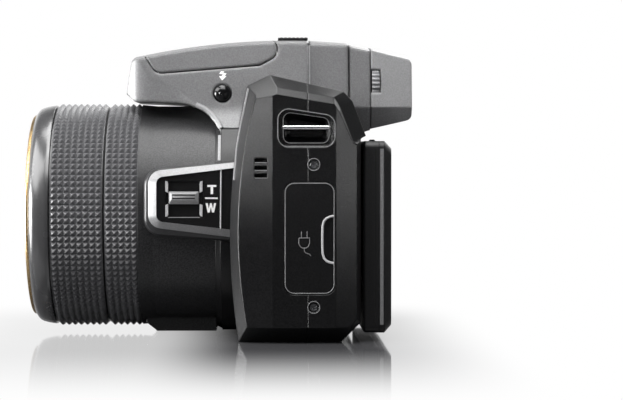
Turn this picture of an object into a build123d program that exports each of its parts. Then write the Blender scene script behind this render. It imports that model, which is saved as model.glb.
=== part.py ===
"""Bridge camera: a fixed zoom camera with a hump that holds the pop-up flash and the eye-level finder,
a hand grip, and a screen on a swing arm at the back.

Millimetres. X runs to the camera's left side (the lens axis is at X = 0), Y runs to the back, Z runs up.
The origin is the mouth of the tripod socket, in the base plane, in line with the lens.
"""
from build123d import *
from math import acos, asin, atan2, cos, pi, radians, sin, sqrt, tan
import os

# Shared clearances
wall = 1.7                  # moulded wall of the casings
running_gap = 0.06          # round a shaft, pin or slide
seam = 0.3                  # shadow gap round a lid or a door
key_gap = 0.15              # round a button
seat_gap = 0.1              # between an inner piece and what carries it
overrun = 5.0               # how far cutters run past what they cut

# Lens axis: the barrel stands just clear of the ground
barrel_radius = 32.5
barrel_lift = 2.1
lens_z = barrel_radius + barrel_lift
lens_top_z = lens_z + barrel_radius

# Main casing, seen from the side
front_foot_y = 14.9
front_belly_y = 17.3
belly_z = 30.0
front_brow_y = 12.4
brow_rise = 4.7
brow_z = lens_top_z + brow_rise
ridge_y = -6.1
ridge_rise = 3.1
ridge_z = brow_z + ridge_rise
roof_y = 14.6
roof_fall = 4.7
roof_z = ridge_z - roof_fall
slope_y = 17.0
slope_fall = 2.6
slope_z = roof_z - slope_fall
lip_y = 20.8
lip_fall = 9.8
lip_z = slope_z - lip_fall
lip_depth = 0.6
back_y = 19.4
tail_cut = 5.4
tail_y = 14.0
casing_seam_y = 4.4

# Bevelled left side
shoulder_width = 11.5
bevel_x = barrel_radius + shoulder_width
bevel_width = 4.4
bevel_front = 2.3
bevel_brow = 2.8
bevel_ridge_y = 1.9
bevel_ridge = 3.7
bevel_roof = 1.7
bevel_roof_y = 2.9
bevel_slope_y = 3.7
bevel_back = 1.2
bevel_foot = 4.4
bevel_heel = 2.2
panel_proud = 2.1
panel_front_y = -5.4
panel_fall = 1.9
panel_back_y = 12.2
panel_front_edge = 15.2
panel_back_edge = 18.6
left_x = bevel_x + bevel_width + panel_proud
panel_inside_x = bevel_x + bevel_width - wall

# Right side and hand grip
centre_x = -16.0            # where the right half of the casing starts, under the hump
finger_room = 13.5          # between the barrel and the grip
grip_width = 22.0
grip_inner_x = -barrel_radius - finger_room
grip_outer_x = grip_inner_x - grip_width
grip_overhang = 3.5
right_x = grip_outer_x + grip_overhang
right_corner = 5.0
deck_step = 3.9
deck_z = ridge_z - deck_step
deck_front_y = -8.5
deck_back_y = 14.4
deck_thick = 4.6
deck_split_z = deck_z - deck_thick
grip_front_y = -43.4
grip_throat_y = -24.0
grip_root = 6.0
grip_draft = 2.0
grip_swell_z = 26.0
grip_heel = 5.4
grip_heel_y = grip_front_y + grip_heel
grip_heel_z = 7.0
grip_back_fall = 5.0
grip_back_z = deck_z - grip_back_fall
grip_back_y = -14.0
grip_top_fall = 3.4
grip_top_y = -35.0
grip_top_z = grip_back_z - grip_top_fall
grip_brow_fall = 6.6
grip_brow_y = -40.5
grip_brow_z = grip_top_z - grip_brow_fall
grip_nose = 9.0
grip_side = 12.0
grip_flank_y = 6.0
rubber_thick = 1.2
rubber_low = 8.0
rubber_margin = 2.0
rubber_high = grip_brow_z - rubber_margin
rubber_back_y = -2.0

# Fixed lens barrel
barrel_wall = 2.9
barrel_bore = barrel_radius - barrel_wall
barrel_back_y = -9.0
barrel_floor = 2.0
barrel_mouth_lip = 5.6
barrel_mouth_radius = barrel_bore - barrel_mouth_lip
ring_thick = 1.6            # rubber of the knurled rings, let into the barrel
ring_seat = barrel_radius - ring_thick
ring_proud = 0.6
ring_tip = barrel_radius + ring_proud
front_y = -76.4
nose_length = 7.3
knurl_pitch = 1.82
knurl_depth = 0.8
knurl_front_y = front_y + nose_length
knurl_front_rows = 8
knurl_back_rows = 5
knurl_land = 0.22
ring_groove = 0.6
front_ring_length = knurl_front_rows * knurl_pitch + knurl_land * 2
back_ring_length = knurl_back_rows * knurl_pitch + knurl_land * 2
rear_ring_y = knurl_front_y + front_ring_length + ring_groove
rings_back_y = rear_ring_y + back_ring_length
nose_step = 0.4
nose_bore = barrel_bore - nose_step
nose_lip = 0.7
nose_tip = nose_bore + nose_lip
nose_swell = 1.8
nose_mid = nose_tip + nose_swell
nose_mid_y = -74.4
nose_flare = 1.0
nose_back = nose_mid + nose_flare
nose_land = 0.3
accent_depth = 0.9
accent_width = 0.7
band_length = 4.36
band_y = rings_back_y + band_length
band_proud = 0.4
band_radius = barrel_radius + band_proud
collar_width = 2.5
collar_radius = barrel_radius + collar_width
collar_front_y = -21.8
collar_step_y = -20.2
collar_step = 1.5
collar_foot = 0.5
foot_half = 12.0
foot_nose_y = -42.5
foot_chin_z = 3.0
foot_chin_y = -39.3
foot_z = 0.5
foot_pad_y = -38.9
foot_pad_radius = 1.5

# Zoom switch pod
pod_root = 5.5              # how deep its foot goes past the barrel's side
pod_skirt = 2.1
pod_rise = 3.0
pod_root_x = barrel_radius - pod_root
pod_base_x = barrel_radius + pod_skirt
pod_face_x = pod_base_x + pod_rise
pod_front_y = -42.1
pod_back_y = -16.2
pod_above_front = 13.9
pod_above_back = 15.8
pod_below_front = 4.9
pod_below_back = 6.8
pod_top_front_z = lens_z + pod_above_front
pod_top_back_z = lens_z + pod_above_back
pod_low_front_z = lens_z - pod_below_front
pod_low_back_z = lens_z - pod_below_back
pod_corner = 4.0
pod_bevel = 1.5
pod_bevel_front = 3.3
panel_front = -38.3
panel_rear = -16.6
panel_margin_top_front = 2.2
panel_margin_top_back = 1.9
panel_margin_low_front = 4.0
panel_margin_low_back = 3.8
panel_top_front_z = pod_top_front_z - panel_margin_top_front
panel_top_back_z = pod_top_back_z - panel_margin_top_back
panel_low_front_z = pod_low_front_z + panel_margin_low_front
panel_low_back_z = pod_low_back_z + panel_margin_low_back
panel_corner = 2.2
panel_sink = 0.6
panel_thick = 0.9
window_inset = 2.6
window_front_y = panel_front + window_inset
window_length = 10.6
window_back_y = window_front_y + window_length
window_below = 1.0
window_above = 1.4
window_low_z = panel_low_front_z + window_below
window_top_z = panel_top_front_z - window_above
window_corner = 0.8
window_depth = 3.4
slider_length = 8.3
slider_height = 3.6
slider_lift = 0.5
slider_z = (window_low_z + window_top_z) / 2 + slider_lift
slider_proud = 1.0
slider_slope = 0.9

# Telescoping tubes
tube_wall = 1.5
tube_gap = 0.1
tube_sink = 1.2
tube_tip_y = front_y + tube_sink
tube_tip_step = 0.7
stage_one = 20.0            # travel of the outer tube
stage_two = 18.0            # travel of the inner tube in the outer one
guide_overlap = 7.1
inner_overlap = 19.2
tube_outer_back_y = knurl_front_y + stage_one + guide_overlap
tube_inner_back_y = tube_tip_y + stage_two + inner_overlap
front_mask = 9.2
front_glass_radius = nose_bore - front_mask
front_glass_edge = 3.0
front_glass_bulge = 3.2
bezel_depth = 5.0
bezel_step = 0.3
bezel_floor = 1.6
aperture_radius = 9.0
rear_group_radius = 15.0
rear_group_front_y = -34.0
rear_group_wall = 2.0
rear_glass_edge = 3.4

# Hump over the lens
hump_rise = 11.8
hump_end_z = ridge_z + hump_rise
nose_low_y = -48.3
nose_gap = 3.1
nose_low_z = lens_top_z + nose_gap
nose_lean = 1.7
nose_top_y = nose_low_y + nose_lean
nose_fall = 5.1
nose_top_z = hump_end_z - nose_fall
crest_y = -16.6
crest_fall = 0.6
crest_z = hump_end_z - crest_fall
under_front = 2.7
under_front_y = nose_low_y + under_front
under_front_gap = 1.0
under_front_z = lens_top_z + under_front_gap
flank_y = -19.5
flank_bend = 3.1
flank_bend_y = flank_y - flank_bend
under_length = 10.4
under_mid_y = flank_bend_y - under_length
under_gap = 0.5
under_mid_z = lens_top_z + under_gap
flank_bend_fall = 5.0
flank_bend_z = under_mid_z - flank_bend_fall
flank_height = 17.1
flank_z = lens_top_z - flank_height
hump_flare = 3.5
hump_foot_half = barrel_radius - hump_flare
hump_foot = 2.0
hump_foot_z = flank_z + hump_foot
hump_lean = 12.1
hump_waist_half = barrel_radius - hump_lean
hump_waist_fall = 1.6
hump_waist_z = lens_top_z - hump_waist_fall
hump_taper = 4.6
hump_crown_half = hump_waist_half - hump_taper
waist_round = 10.0
crown_round = 3.0
nose_taper = 1.6
nose_half = hump_crown_half - nose_taper
cheek_swell = 3.8
cheek_half = nose_half + cheek_swell
cheek = 4.3
cheek_y = nose_low_y + cheek
crease_swell = 1.8
crease_half = cheek_half + crease_swell
crease = 6.5
crease_y = flank_y - crease
nose_round = 3.0
nose_brow_round = 1.5
cheek_round = 9.0
crease_round = 16.0
root_round = 9.0
crown_arch = 100.0          # radius of the crown from side to side
crown_swing = 35.0          # degrees that the arch is drawn to each side
barrel_air = 0.35
hump_seam_y = 5.3
plate_step = 0.7
grille_half = 8.0
grille_length = 9.0
grille_front_y = hump_seam_y - grille_length
grille_thick = 0.6

# Pop-up flash
lid_tip = 4.0
lid_tip_y = nose_top_y + lid_tip
lid_drop_y = 3.4
lid_low_front_y = lid_tip_y + lid_drop_y
lid_drop = 5.3
lid_low_front_z = nose_top_z - lid_drop
lid_pivot_y = -7.3
lid_pivot_fall = 3.2
lid_pivot_z = hump_end_z - lid_pivot_fall
lid_heel_y = 1.8
lid_low_back_y = lid_pivot_y - lid_heel_y
lid_heel_fall = 4.6
lid_low_back_z = lid_pivot_z - lid_heel_fall
lid_corner = 3.4
lid_heel = 3.3
lid_wall = 1.2
lid_solid_length = 6.6
lid_hollow_back_y = lid_pivot_y - lid_solid_length
lid_lug = 2.2
lid_lug_radius = 1.5
lid_pin = 0.7
lid_pin_inset = 2.8
lid_pin_half = hump_crown_half - lid_pin_inset
lid_lug_inset = 2.0
lid_lug_x = lid_pin_half - lid_lug_inset
lid_swing_gap = 0.4
lid_open = 50.0             # degrees that the head swings up
lid_open_spare = 5.0
lamp_inset = 2.2
lamp_width = (nose_half - lamp_inset) * 2
lamp_height = 3.0
lamp_thick = 1.0
lamp_sink = 0.3
lamp_place_share = 0.4
reflector_depth = 1.2
reflector_wall = 0.5
housing_floor = 1.4

# Eye-level finder
finder_cover_length = 11.6
finder_cover_back_y = hump_seam_y + finder_cover_length
finder_shadow = 0.4
finder_neck_front_y = finder_cover_back_y + finder_shadow
finder_neck_length = 6.1
finder_neck_back_y = finder_neck_front_y + finder_neck_length
eyecup_shadow = 0.2
eyecup_front_y = finder_neck_back_y + eyecup_shadow
eyecup_length = 11.9
eyecup_back_y = eyecup_front_y + eyecup_length
finder_cover_fall = 0.8
finder_mid_z = hump_end_z - finder_cover_fall
finder_neck_fall = 1.4
finder_neck_z = finder_mid_z - finder_neck_fall
eyecup_fall = 2.8
eyecup_top_z = finder_neck_z - eyecup_fall
finder_line = 0.25
finder_drop = 0.4
eyecup_lift = 2.4
eyecup_low_front_z = lip_z + eyecup_lift
eyecup_chin = 2.7
eyecup_low_z = eyecup_low_front_z + eyecup_chin
finder_step = 1.8
finder_half = hump_waist_half - finder_step
finder_crown_step = 0.2
finder_crown_half = hump_crown_half - finder_crown_step
finder_keel_lean = 5.0
finder_keel_half = finder_half - finder_keel_lean
finder_keel = 3.5
finder_keel_z = eyecup_low_z + finder_keel
eyecup_corner = 1.8
port_half = 10.0
port_sill = 0.6
port_low_z = finder_keel_z + port_sill
port_lintel = 2.7
port_top_z = eyecup_top_z - port_lintel
port_corner = 3.0
port_depth = 6.2
port_round = 1.2
tunnel_step = 1.6
tunnel_half = 6.4
tunnel_low_z = port_low_z + tunnel_step
tunnel_top_z = port_top_z - tunnel_step
wheel_inset = 0.3
wheel_y = eyecup_front_y + wheel_inset
wheel_thick = 2.2
wheel_fall = 8.3
wheel_z = eyecup_top_z - wheel_fall
wheel_radius = 5.4
wheel_proud = 0.7
wheel_shaft = 1.2
wheel_shaft_length = 3.0
wheel_ribs = 24
rib_depth = 0.35

# Folding screen and its arm
screen_gap = 0.8            # between the flat back and the folded screen
screen_y = back_y + screen_gap
screen_thick = 8.0
screen_low_z = 2.2
screen_below_lip = 1.4
screen_top_z = lip_z - screen_below_lip
screen_inset = 2.0
screen_left_x = bevel_x - screen_inset
screen_right_x = -34.0
screen_cover = 4.5
screen_bevel = 2.0
screen_corner = 2.2
glass_margin = 4.0
glass_thick = 1.0
lcd_thick = 1.6
hinge_inset = 2.2
hinge_y = back_y - hinge_inset
arm_pivot_z = 10.6
arm_length = 31.5
hinge_z = arm_pivot_z + arm_length
arm_left_x = 24.0
arm_right_x = -16.0
arm_inner = 3.1
arm_outer = 1.9
arm_short = 5.2             # the arm's cover stops this far below the upper hinge
arm_root = 2.6
leaf_thick = 1.2
leaf_radius = 2.1
ear_radius = 3.4
ear_width = 3.2
ear_gap = 0.3
hinge_pin = 1.0
recess_depth = 6.4
recess_air = 0.7
lug_width = 4.0

# Strap bars
strap_inset_front = 1.5
strap_inset_back = 0.2
strap_front_y = panel_front_y + strap_inset_front
strap_back_y = panel_back_y - strap_inset_back
strap_top_fall = 4.6
strap_height = 11.1
strap_taper = 2.4
strap_top_z = roof_z - strap_top_fall
strap_low_z = strap_top_z - strap_height
strap_top_back_z = strap_top_z - strap_taper
strap_corner = 3.0
strap_rim = 1.9
strap_depth = 7.4
strap_bar = 0.75
strap_bar_rise = 5.6
strap_bar_z = strap_low_z + strap_bar_rise
strap_bar_sink = 0.5
strap_bar_bite = 1.3

# Port door and bay
door_inset_front = 3.4
door_inset_back = 0.4
door_front_y = panel_front_y + door_inset_front
door_back_y = panel_back_y - door_inset_back
door_low_z = 13.9
door_below_strap = 9.8
door_top_z = strap_low_z - door_below_strap
door_corner = 2.5
door_thick = 1.4
notch_depth = 0.7
notch_reach = 3.4
notch_round_share = 0.75
notch_rise = 8.8
notch_height = 12.5
notch_low_z = door_low_z + notch_rise
notch_top_z = notch_low_z + notch_height
bay_margin = 1.3
bay_depth = 7.6
socket_depth = 2.4
socket_wall = 0.6
usb_rise = 9.1
usb_z = door_low_z + usb_rise
usb_width = 7.4
usb_height = 5.4
video_fall = 9.7
video_z = door_top_z - video_fall
video_width = 5.4
video_height = 12.0

# Speaker slots and screws on the left
slot_before_panel = 5.0
slot_front_y = panel_front_y - slot_before_panel
slot_length = 3.6
slot_height = 1.1
slot_pitch = 2.15
slot_below_strap = 8.4
slot_low_z = strap_low_z - slot_below_strap
slot_count = 3
speaker_radius = 3.4
speaker_thick = 2.4
screw_head = 1.28
screw_sink = 0.4
screw_shank = 0.8
screw_length = 4.6
side_screw_y = 6.05
screw_below_strap = 4.7
screw_below_door = 3.8
side_screw_top_z = strap_low_z - screw_below_strap
side_screw_low_z = door_low_z - screw_below_door
base_screw_left_x = 30.0
base_screw_right_x = -36.0
base_screw_y = -4.0

# Base
socket_radius = 3.175       # quarter-inch camera thread
socket_length = 6.4
socket_body = 5.4
socket_flange = 7.0
socket_flange_thick = 1.2
battery_door_inset = 2.0
battery_door_overlap = 3.4
battery_door_left_x = grip_inner_x - battery_door_inset
battery_door_right_x = grip_outer_x + battery_door_overlap
battery_door_front_y = grip_heel_y + battery_door_inset
battery_door_back_y = -7.0
battery_door_corner = 3.0
battery_door_thick = 1.6
battery_width = 11.6
battery_length = 24.0
battery_height = 40.0
battery_corner = 2.0
card_thick = 2.1
card_length = 24.0
card_height = 32.0
card_corner = 4.0

# Controls
mode_from_side = 30.5
mode_x = right_x + mode_from_side
mode_y = 2.0
mode_radius = 8.4
mode_height = 5.4
mode_ribs = 30
spindle = 1.5
spindle_length = 2.4
shutter_x = (grip_inner_x + grip_outer_x) / 2
shutter_y = -29.0
shutter_radius = 4.6
shutter_proud = 2.4
shutter_length = 3.6
lever_radius = 7.6
lever_thick = 1.8
lever_tab = 3.0
lever_tab_width = 5.0
key_radius = 2.7
key_proud = 0.8
key_travel = 0.6
key_length = 3.0
key_dome = 0.5
rim_radius = 0.5
command_from_side = 16.3
command_x = right_x + command_from_side
command_height_share = 0.851
command_z = tail_cut + (lip_z - tail_cut) * command_height_share
command_radius = 6.4
command_thick = 5.0
command_proud = 2.2
command_ribs = 30
pad_from_side = 14.5
pad_x = right_x + pad_from_side
pad_height_share = 0.317
pad_z = tail_cut + (lip_z - tail_cut) * pad_height_share
pad_radius = 9.0
ok_radius = 3.5
upper_key_spread = 6.5
upper_key_height_share = 0.613
menu_x = pad_x + upper_key_spread
play_x = pad_x - upper_key_spread
upper_key_z = tail_cut + (lip_z - tail_cut) * upper_key_height_share
thumb_inset = 2.1
thumb_width = 6.2
thumb_height = 15.0
thumb_right_x = right_x + thumb_inset
thumb_left_x = thumb_right_x + thumb_width
thumb_below_lip = 0.8
thumb_top_z = lip_z - thumb_below_lip
thumb_low_z = thumb_top_z - thumb_height
thumb_proud = 2.4
flash_key_y = -19.9
flash_key_rise = 4.9
flash_key_z = hump_waist_z + flash_key_rise
flash_key_proud = 1.3
flash_key_radius = 2.6
flash_key_round_share = 0.6
finder_key_x = 26.0
finder_key_fall = 4.2
finder_key_z = slope_z - finder_key_fall
finder_key_radius = 2.9

# Inside
chassis_thick = 1.4
chassis_margin = 4.0
chassis_half = bevel_x - chassis_margin
chassis_low_z = 8.0
chassis_above_lip = 2.2
chassis_top_z = lip_z + chassis_above_lip
board_y = -1.4
board_thick = 1.2
board_right_x = -42.0
board_left_x = left_x - door_thick - bay_depth - wall - seam
chip_size = 11.0
chip_thick = 1.1
chip_place_share = 2.5
sensor_half = 8.0
sensor_window_share = 1.5
sensor_glass_half = 4.6
sensor_depth = 3.4
capacitor_radius = 4.0
capacitor_length = 24.0
capacitor_x = 30.0
motor_radius = 2.7
motor_length = 9.0


def outline(*corners):
    """A closed face through the corners; a third number rounds that corner."""
    count = len(corners)
    bends = []
    for index, corner in enumerate(corners):
        here = Vector(corner[0], corner[1])
        before = (Vector(*corners[index - 1][:2]) - here).normalized()
        after = (Vector(*corners[(index + 1) % count][:2]) - here).normalized()
        radius = corner[2] if len(corner) > 2 else 0
        if radius:
            half = radians(before.get_angle(after)) / 2
            reach = radius / tan(half)
            middle = here + (before + after).normalized() * (radius / sin(half) - radius)
            bends.append((here + before * reach, middle, here + after * reach))
        else:
            bends.append((here, None, here))
    edges = []
    for index, (start, middle, stop) in enumerate(bends):
        if middle is not None:
            edges.append(ThreePointArc(start, middle, stop))
        edges.append(Line(stop, bends[(index + 1) % count][0]))
    return make_face(edges)


def side_plate(face, x_from, x_to):
    """A face drawn in Y and Z, given a thickness along X."""
    return extrude(Plane.YZ.offset(x_from) * face, x_to - x_from, dir=(1, 0, 0))


def plan_plate(face, z_from, z_to):
    """A face drawn in X and Y, given a thickness along Z."""
    return extrude(Plane.XY.offset(z_from) * face, z_to - z_from, dir=(0, 0, 1))


def front_plate(face, y_from, y_to):
    """A face drawn in X and Z, given a thickness along Y."""
    plane = Plane((0, y_from, 0), x_dir=(1, 0, 0), z_dir=(0, -1, 0))
    return extrude(plane * face, y_to - y_from, dir=(0, 1, 0))


def block(x_from, x_to, y_from, y_to, z_from, z_to):
    """A square block between two opposite corners."""
    middle = Pos((x_from + x_to) / 2, (y_from + y_to) / 2, (z_from + z_to) / 2)
    return middle * Box(abs(x_to - x_from), abs(y_to - y_from), abs(z_to - z_from))


def rod(start, along, radius, length):
    """A round bar from a point, along a direction."""
    return extrude(Plane(origin=start, z_dir=along) * Circle(radius), length)


def turned(*corners):
    """A ring turned about the lens axis from corners given as place along Y, radius."""
    plane = Plane((0, 0, lens_z), x_dir=(0, 1, 0), z_dir=(1, 0, 0))
    return revolve(plane * outline(*corners), Axis((0, 0, lens_z), (0, 1, 0)), 360)


def domed(start, along, radius, length, rounding):
    """A round key or cap from a point, along a direction, with its far edge rounded."""
    half = outline((0, 0), (radius, 0), (radius, length, rounding), (0, length))
    return Plane(origin=start, z_dir=along) * revolve(Plane.XZ * half, Axis.Z, 360)


def fluted(radius, count, depth):
    """A disc face with small round flutes in its rim."""
    flute = pi * radius / count / 2
    disc = Sketch() + Circle(radius)
    for number in range(count):
        turn = 2 * pi * number / count
        reach = radius + flute - depth
        disc -= Pos(reach * cos(turn), reach * sin(turn)) * Circle(flute)
    return disc


# Main casing


def casing_face(inset, fall=0):
    """Side view of the casing; inset is the smaller outline past the left bevel, fall lowers its roof."""
    front = bevel_front if inset else 0
    low = bevel_foot if inset else 0
    brow = bevel_brow if inset else 0
    ridge = (bevel_ridge_y, bevel_ridge) if inset else (0, 0)
    roof = (bevel_roof_y, bevel_roof) if inset else (0, 0)
    slope = bevel_slope_y if inset else 0
    back = bevel_back if inset else 0
    heel = bevel_heel if inset else 0
    foot_point = (-front_foot_y + front, low)
    drop = roof[1] + fall
    brow_point = (-front_brow_y + front, brow_z - brow - fall)
    corners = [
        brow_point,
        (ridge_y + ridge[0], ridge_z - ridge[1] - fall),
        (roof_y - roof[0], roof_z - drop),
        (slope_y - slope, slope_z - drop),
        (lip_y - slope, lip_z - drop),
        (back_y - back, lip_z - lip_depth - drop),
        (back_y - back, tail_cut + back),
        (tail_y + heel, low),
        foot_point,
    ]
    edges = [ThreePointArc(foot_point, (-front_belly_y + front, belly_z), brow_point)]
    edges += [Line(corners[n], corners[n + 1]) for n in range(len(corners) - 1)]
    return make_face(edges)


def right_face():
    """Side view of the casing under the control deck."""
    foot_point = (-front_foot_y, 0)
    brow_point = (-front_brow_y, deck_split_z)
    corners = [
        brow_point,
        (deck_front_y, deck_z),
        (deck_back_y, deck_z),
        (slope_y, slope_z),
        (lip_y, lip_z),
        (back_y, lip_z - lip_depth),
        (back_y, tail_cut),
        (tail_y, 0),
        foot_point,
    ]
    edges = [ThreePointArc(foot_point, (-front_belly_y, belly_z), brow_point)]
    edges += [Line(corners[n], corners[n + 1]) for n in range(len(corners) - 1)]
    return make_face(edges)


def right_plan():
    return outline(
        (centre_x, -front_belly_y - overrun),
        (right_x, -front_belly_y - overrun),
        (right_x, lip_y, right_corner),
        (centre_x, lip_y),
    )


def grip_plan():
    """The hand grip from above."""
    return outline(
        (grip_inner_x + grip_root, barrel_back_y),
        (grip_inner_x, grip_throat_y, grip_side),
        (grip_inner_x - grip_draft, grip_front_y, grip_nose),
        (grip_outer_x + grip_draft, grip_front_y, grip_nose),
        (grip_outer_x, grip_back_y, grip_side),
        (right_x, grip_flank_y),
        (grip_inner_x + grip_root, grip_flank_y),
    )


def grip_face():
    """The hand grip from the side."""
    return outline(
        (grip_heel_y, 0),
        (grip_front_y, grip_heel_z, grip_heel_z),
        (grip_front_y, grip_swell_z, grip_brow_z),
        (grip_brow_y, grip_brow_z, grip_draft),
        (grip_top_y, grip_top_z, grip_draft),
        (grip_back_y, grip_back_z),
        (grip_flank_y, grip_back_z),
        (grip_flank_y, 0),
    )


def casing_solid():
    left = side_plate(casing_face(False), centre_x, bevel_x)
    start = Plane.YZ.offset(bevel_x) * casing_face(False)
    stop = Plane.YZ.offset(bevel_x + bevel_width) * casing_face(True)
    bevel = loft([start, stop], ruled=True)
    edge_x = bevel_x + bevel_width
    facets = outline(
        (edge_x - overrun, -panel_front_edge - overrun),
        (edge_x, -panel_front_edge),
        (left_x, panel_front_y),
        (left_x, panel_back_y),
        (edge_x, panel_back_edge),
        (edge_x - overrun, panel_back_edge + overrun),
    )
    panel_start = Plane.YZ.offset(edge_x) * casing_face(True)
    panel_stop = Plane.YZ.offset(left_x) * casing_face(True, panel_fall)
    panel = plan_plate(facets, 0, ridge_z) & loft([panel_start, panel_stop], ruled=True)
    right = side_plate(right_face(), right_x, centre_x) & plan_plate(right_plan(), 0, deck_z)
    grip = plan_plate(grip_plan(), 0, deck_z) & side_plate(grip_face(), grip_outer_x, bevel_x)
    return left + bevel + panel + right + grip


def casing_hollow():
    """The space inside the moulded walls."""
    left = side_plate(offset(casing_face(False), -wall), centre_x, bevel_x)
    panel = side_plate(offset(casing_face(True, panel_fall), -wall), bevel_x, panel_inside_x)
    right = side_plate(offset(right_face(), -wall), right_x + wall, centre_x)
    right &= plan_plate(offset(right_plan(), -wall), 0, deck_z)
    link = side_plate(offset(right_face(), -wall), centre_x - overrun, centre_x)
    grip = plan_plate(offset(grip_plan(), -wall), 0, deck_z)
    grip &= side_plate(offset(grip_face(), -wall), grip_outer_x, bevel_x)
    return left + panel + right + link + grip


def deck_zone():
    return block(grip_outer_x - overrun, centre_x, -front_belly_y, lip_y + overrun, deck_split_z, ridge_z)


# Hump, flash housing and finder


def arched(face, inset):
    """A side view swung about an axis under the crown, so that its roof is arched from side to side.

    A hollow has a flat ceiling under the lowest part of the arch."""
    if inset:
        fall = crown_arch - sqrt(crown_arch ** 2 - hump_crown_half ** 2)
        return Pos(0, 0, -fall) * side_plate(face, -hump_foot_half, hump_foot_half)
    axis = Axis((0, 0, hump_end_z - crown_arch), (0, 1, 0))
    start = (Plane.YZ * face).rotate(axis, -crown_swing)
    return revolve(start, axis, crown_swing * 2)


def hump_roof(inset):
    """Side view of the hump's roof line and nose as far as the finder cover; inset draws the hollow."""
    face = make_face([
        Line((hump_seam_y, flank_z - overrun), (hump_seam_y, hump_end_z)),
        ThreePointArc((hump_seam_y, hump_end_z), (crest_y, crest_z), (nose_top_y, nose_top_z)),
        Line((nose_top_y, nose_top_z), (nose_low_y, nose_low_z)),
        Line((nose_low_y, nose_low_z), (nose_low_y, flank_z - overrun)),
        Line((nose_low_y, flank_z - overrun), (hump_seam_y, flank_z - overrun)),
    ])
    if inset:
        return offset(face, -inset)
    return fillet(face.vertices().sort_by_distance((nose_top_y, nose_top_z, 0))[0], nose_brow_round)


def hump_under(inset):
    """Side view of what lies above the hump's underside and behind the front edge of its flank."""
    front = nose_low_y - wall
    rear = hump_seam_y + wall
    top = hump_end_z + wall
    face = make_face([
        Line((rear, flank_z), (rear, top)),
        Line((rear, top), (front, top)),
        Line((front, top), (front, nose_low_z + wall)),
        Line((front, nose_low_z + wall), (under_front_y, under_front_z)),
        Line((under_front_y, under_front_z), (under_mid_y, under_mid_z)),
        ThreePointArc((under_mid_y, under_mid_z), (flank_bend_y, flank_bend_z), (flank_y, flank_z)),
        Line((flank_y, flank_z), (rear, flank_z)),
    ])
    return offset(face, -inset) if inset else face


def hump_front(inset):
    """Front view of the hump: a narrow crown over a waist that flares onto the shoulders."""
    half = outline(
        (-hump_foot_half, hump_foot_z - overrun),
        (-hump_foot_half, hump_foot_z),
        (-hump_waist_half, hump_waist_z, waist_round),
        (-hump_crown_half, hump_end_z + plate_step, crown_round),
        (hump_crown_half, hump_end_z + plate_step, crown_round),
        (hump_waist_half, hump_waist_z, waist_round),
        (hump_foot_half, hump_foot_z),
        (hump_foot_half, hump_foot_z - overrun),
    )
    return offset(half, -inset) if inset else half


def hump_plan(inset):
    """The hump from above: its nose narrows and its root spreads."""
    face = outline(
        (-nose_half, nose_low_y, nose_round),
        (nose_half, nose_low_y, nose_round),
        (cheek_half, cheek_y, cheek_round),
        (crease_half, crease_y, crease_round),
        (hump_foot_half, flank_y + wall, root_round),
        (hump_foot_half, hump_seam_y),
        (-hump_foot_half, hump_seam_y),
        (-hump_foot_half, flank_y + wall, root_round),
        (-crease_half, crease_y, crease_round),
        (-cheek_half, cheek_y, cheek_round),
    )
    return offset(face, -inset) if inset else face


def hump_solid(inset=0):
    solid = arched(hump_roof(inset), inset) & side_plate(hump_under(inset), -hump_foot_half, hump_foot_half)
    solid &= front_plate(hump_front(inset), nose_low_y - overrun, hump_seam_y)
    return solid & plan_plate(hump_plan(inset), flank_z - overrun, hump_end_z + overrun)


def lid_face(grow):
    """Side view of the pop-up flash head; its heel is round about the hinge."""
    swing = lid_heel + grow
    top = hump_end_z + overrun
    away = sqrt((lid_low_back_y - lid_pivot_y) ** 2 + (lid_low_back_z - lid_pivot_z) ** 2)
    turn = atan2(lid_low_back_z - lid_pivot_z, lid_low_back_y - lid_pivot_y) + acos(lid_heel / away)
    face = outline(
        (lid_tip_y - grow - (top - nose_top_z), top),
        (lid_tip_y - grow, nose_top_z),
        (lid_low_front_y - grow / 2, lid_low_front_z - grow, lid_corner),
        (lid_low_back_y + grow * cos(turn), lid_low_back_z + grow * sin(turn) - grow / 2),
        (lid_pivot_y + swing * cos(turn), lid_pivot_z + swing * sin(turn)),
        (lid_pivot_y, lid_pivot_z),
        (lid_pivot_y, top),
    )
    return face + Pos(lid_pivot_y, lid_pivot_z) * Circle(swing)


def lug_face(grow):
    """Side view of a hinge lug of the flash, or of the slot that clears it over the head's whole swing."""
    foot = lid_low_back_z - housing_floor
    radius = lid_lug_radius + grow
    turn = radians(lid_open + lid_open_spare) if grow else 0
    reach = lid_heel * 2 if grow else lid_pivot_z - foot
    tangent = (lid_pivot_y + radius * cos(turn), lid_pivot_z + radius * sin(turn))
    far = (tangent[0] + reach * sin(turn), tangent[1] - reach * cos(turn))
    corners = [(lid_pivot_y - radius, foot), (lid_pivot_y - radius, lid_pivot_z),
               (lid_pivot_y, lid_pivot_z),
               tangent, far]
    if grow:
        corners.append((far[0], foot))
    return outline(*corners) + Pos(lid_pivot_y, lid_pivot_z) * Circle(radius)


def lugs(grow):
    """Both hinge lugs, or the slots that they stand in."""
    half = lid_lug / 2 + grow
    places = (-lid_lug_x, lid_lug_x)
    return [side_plate(lug_face(grow), x - half, x + half) for x in places]


def finder_front(inset, keel):
    """Front view of the finder: its sides lean in above and below the widest line."""
    corners = [
        (-finder_half + inset, finder_keel_z),
        (-finder_crown_half + inset, finder_mid_z + plate_step - inset, crown_round),
        (finder_crown_half - inset, finder_mid_z + plate_step - inset, crown_round),
        (finder_half - inset, finder_keel_z),
        (finder_keel_half - inset, keel + inset),
        (-finder_keel_half + inset, keel + inset),
    ]
    return outline(*corners)


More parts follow.
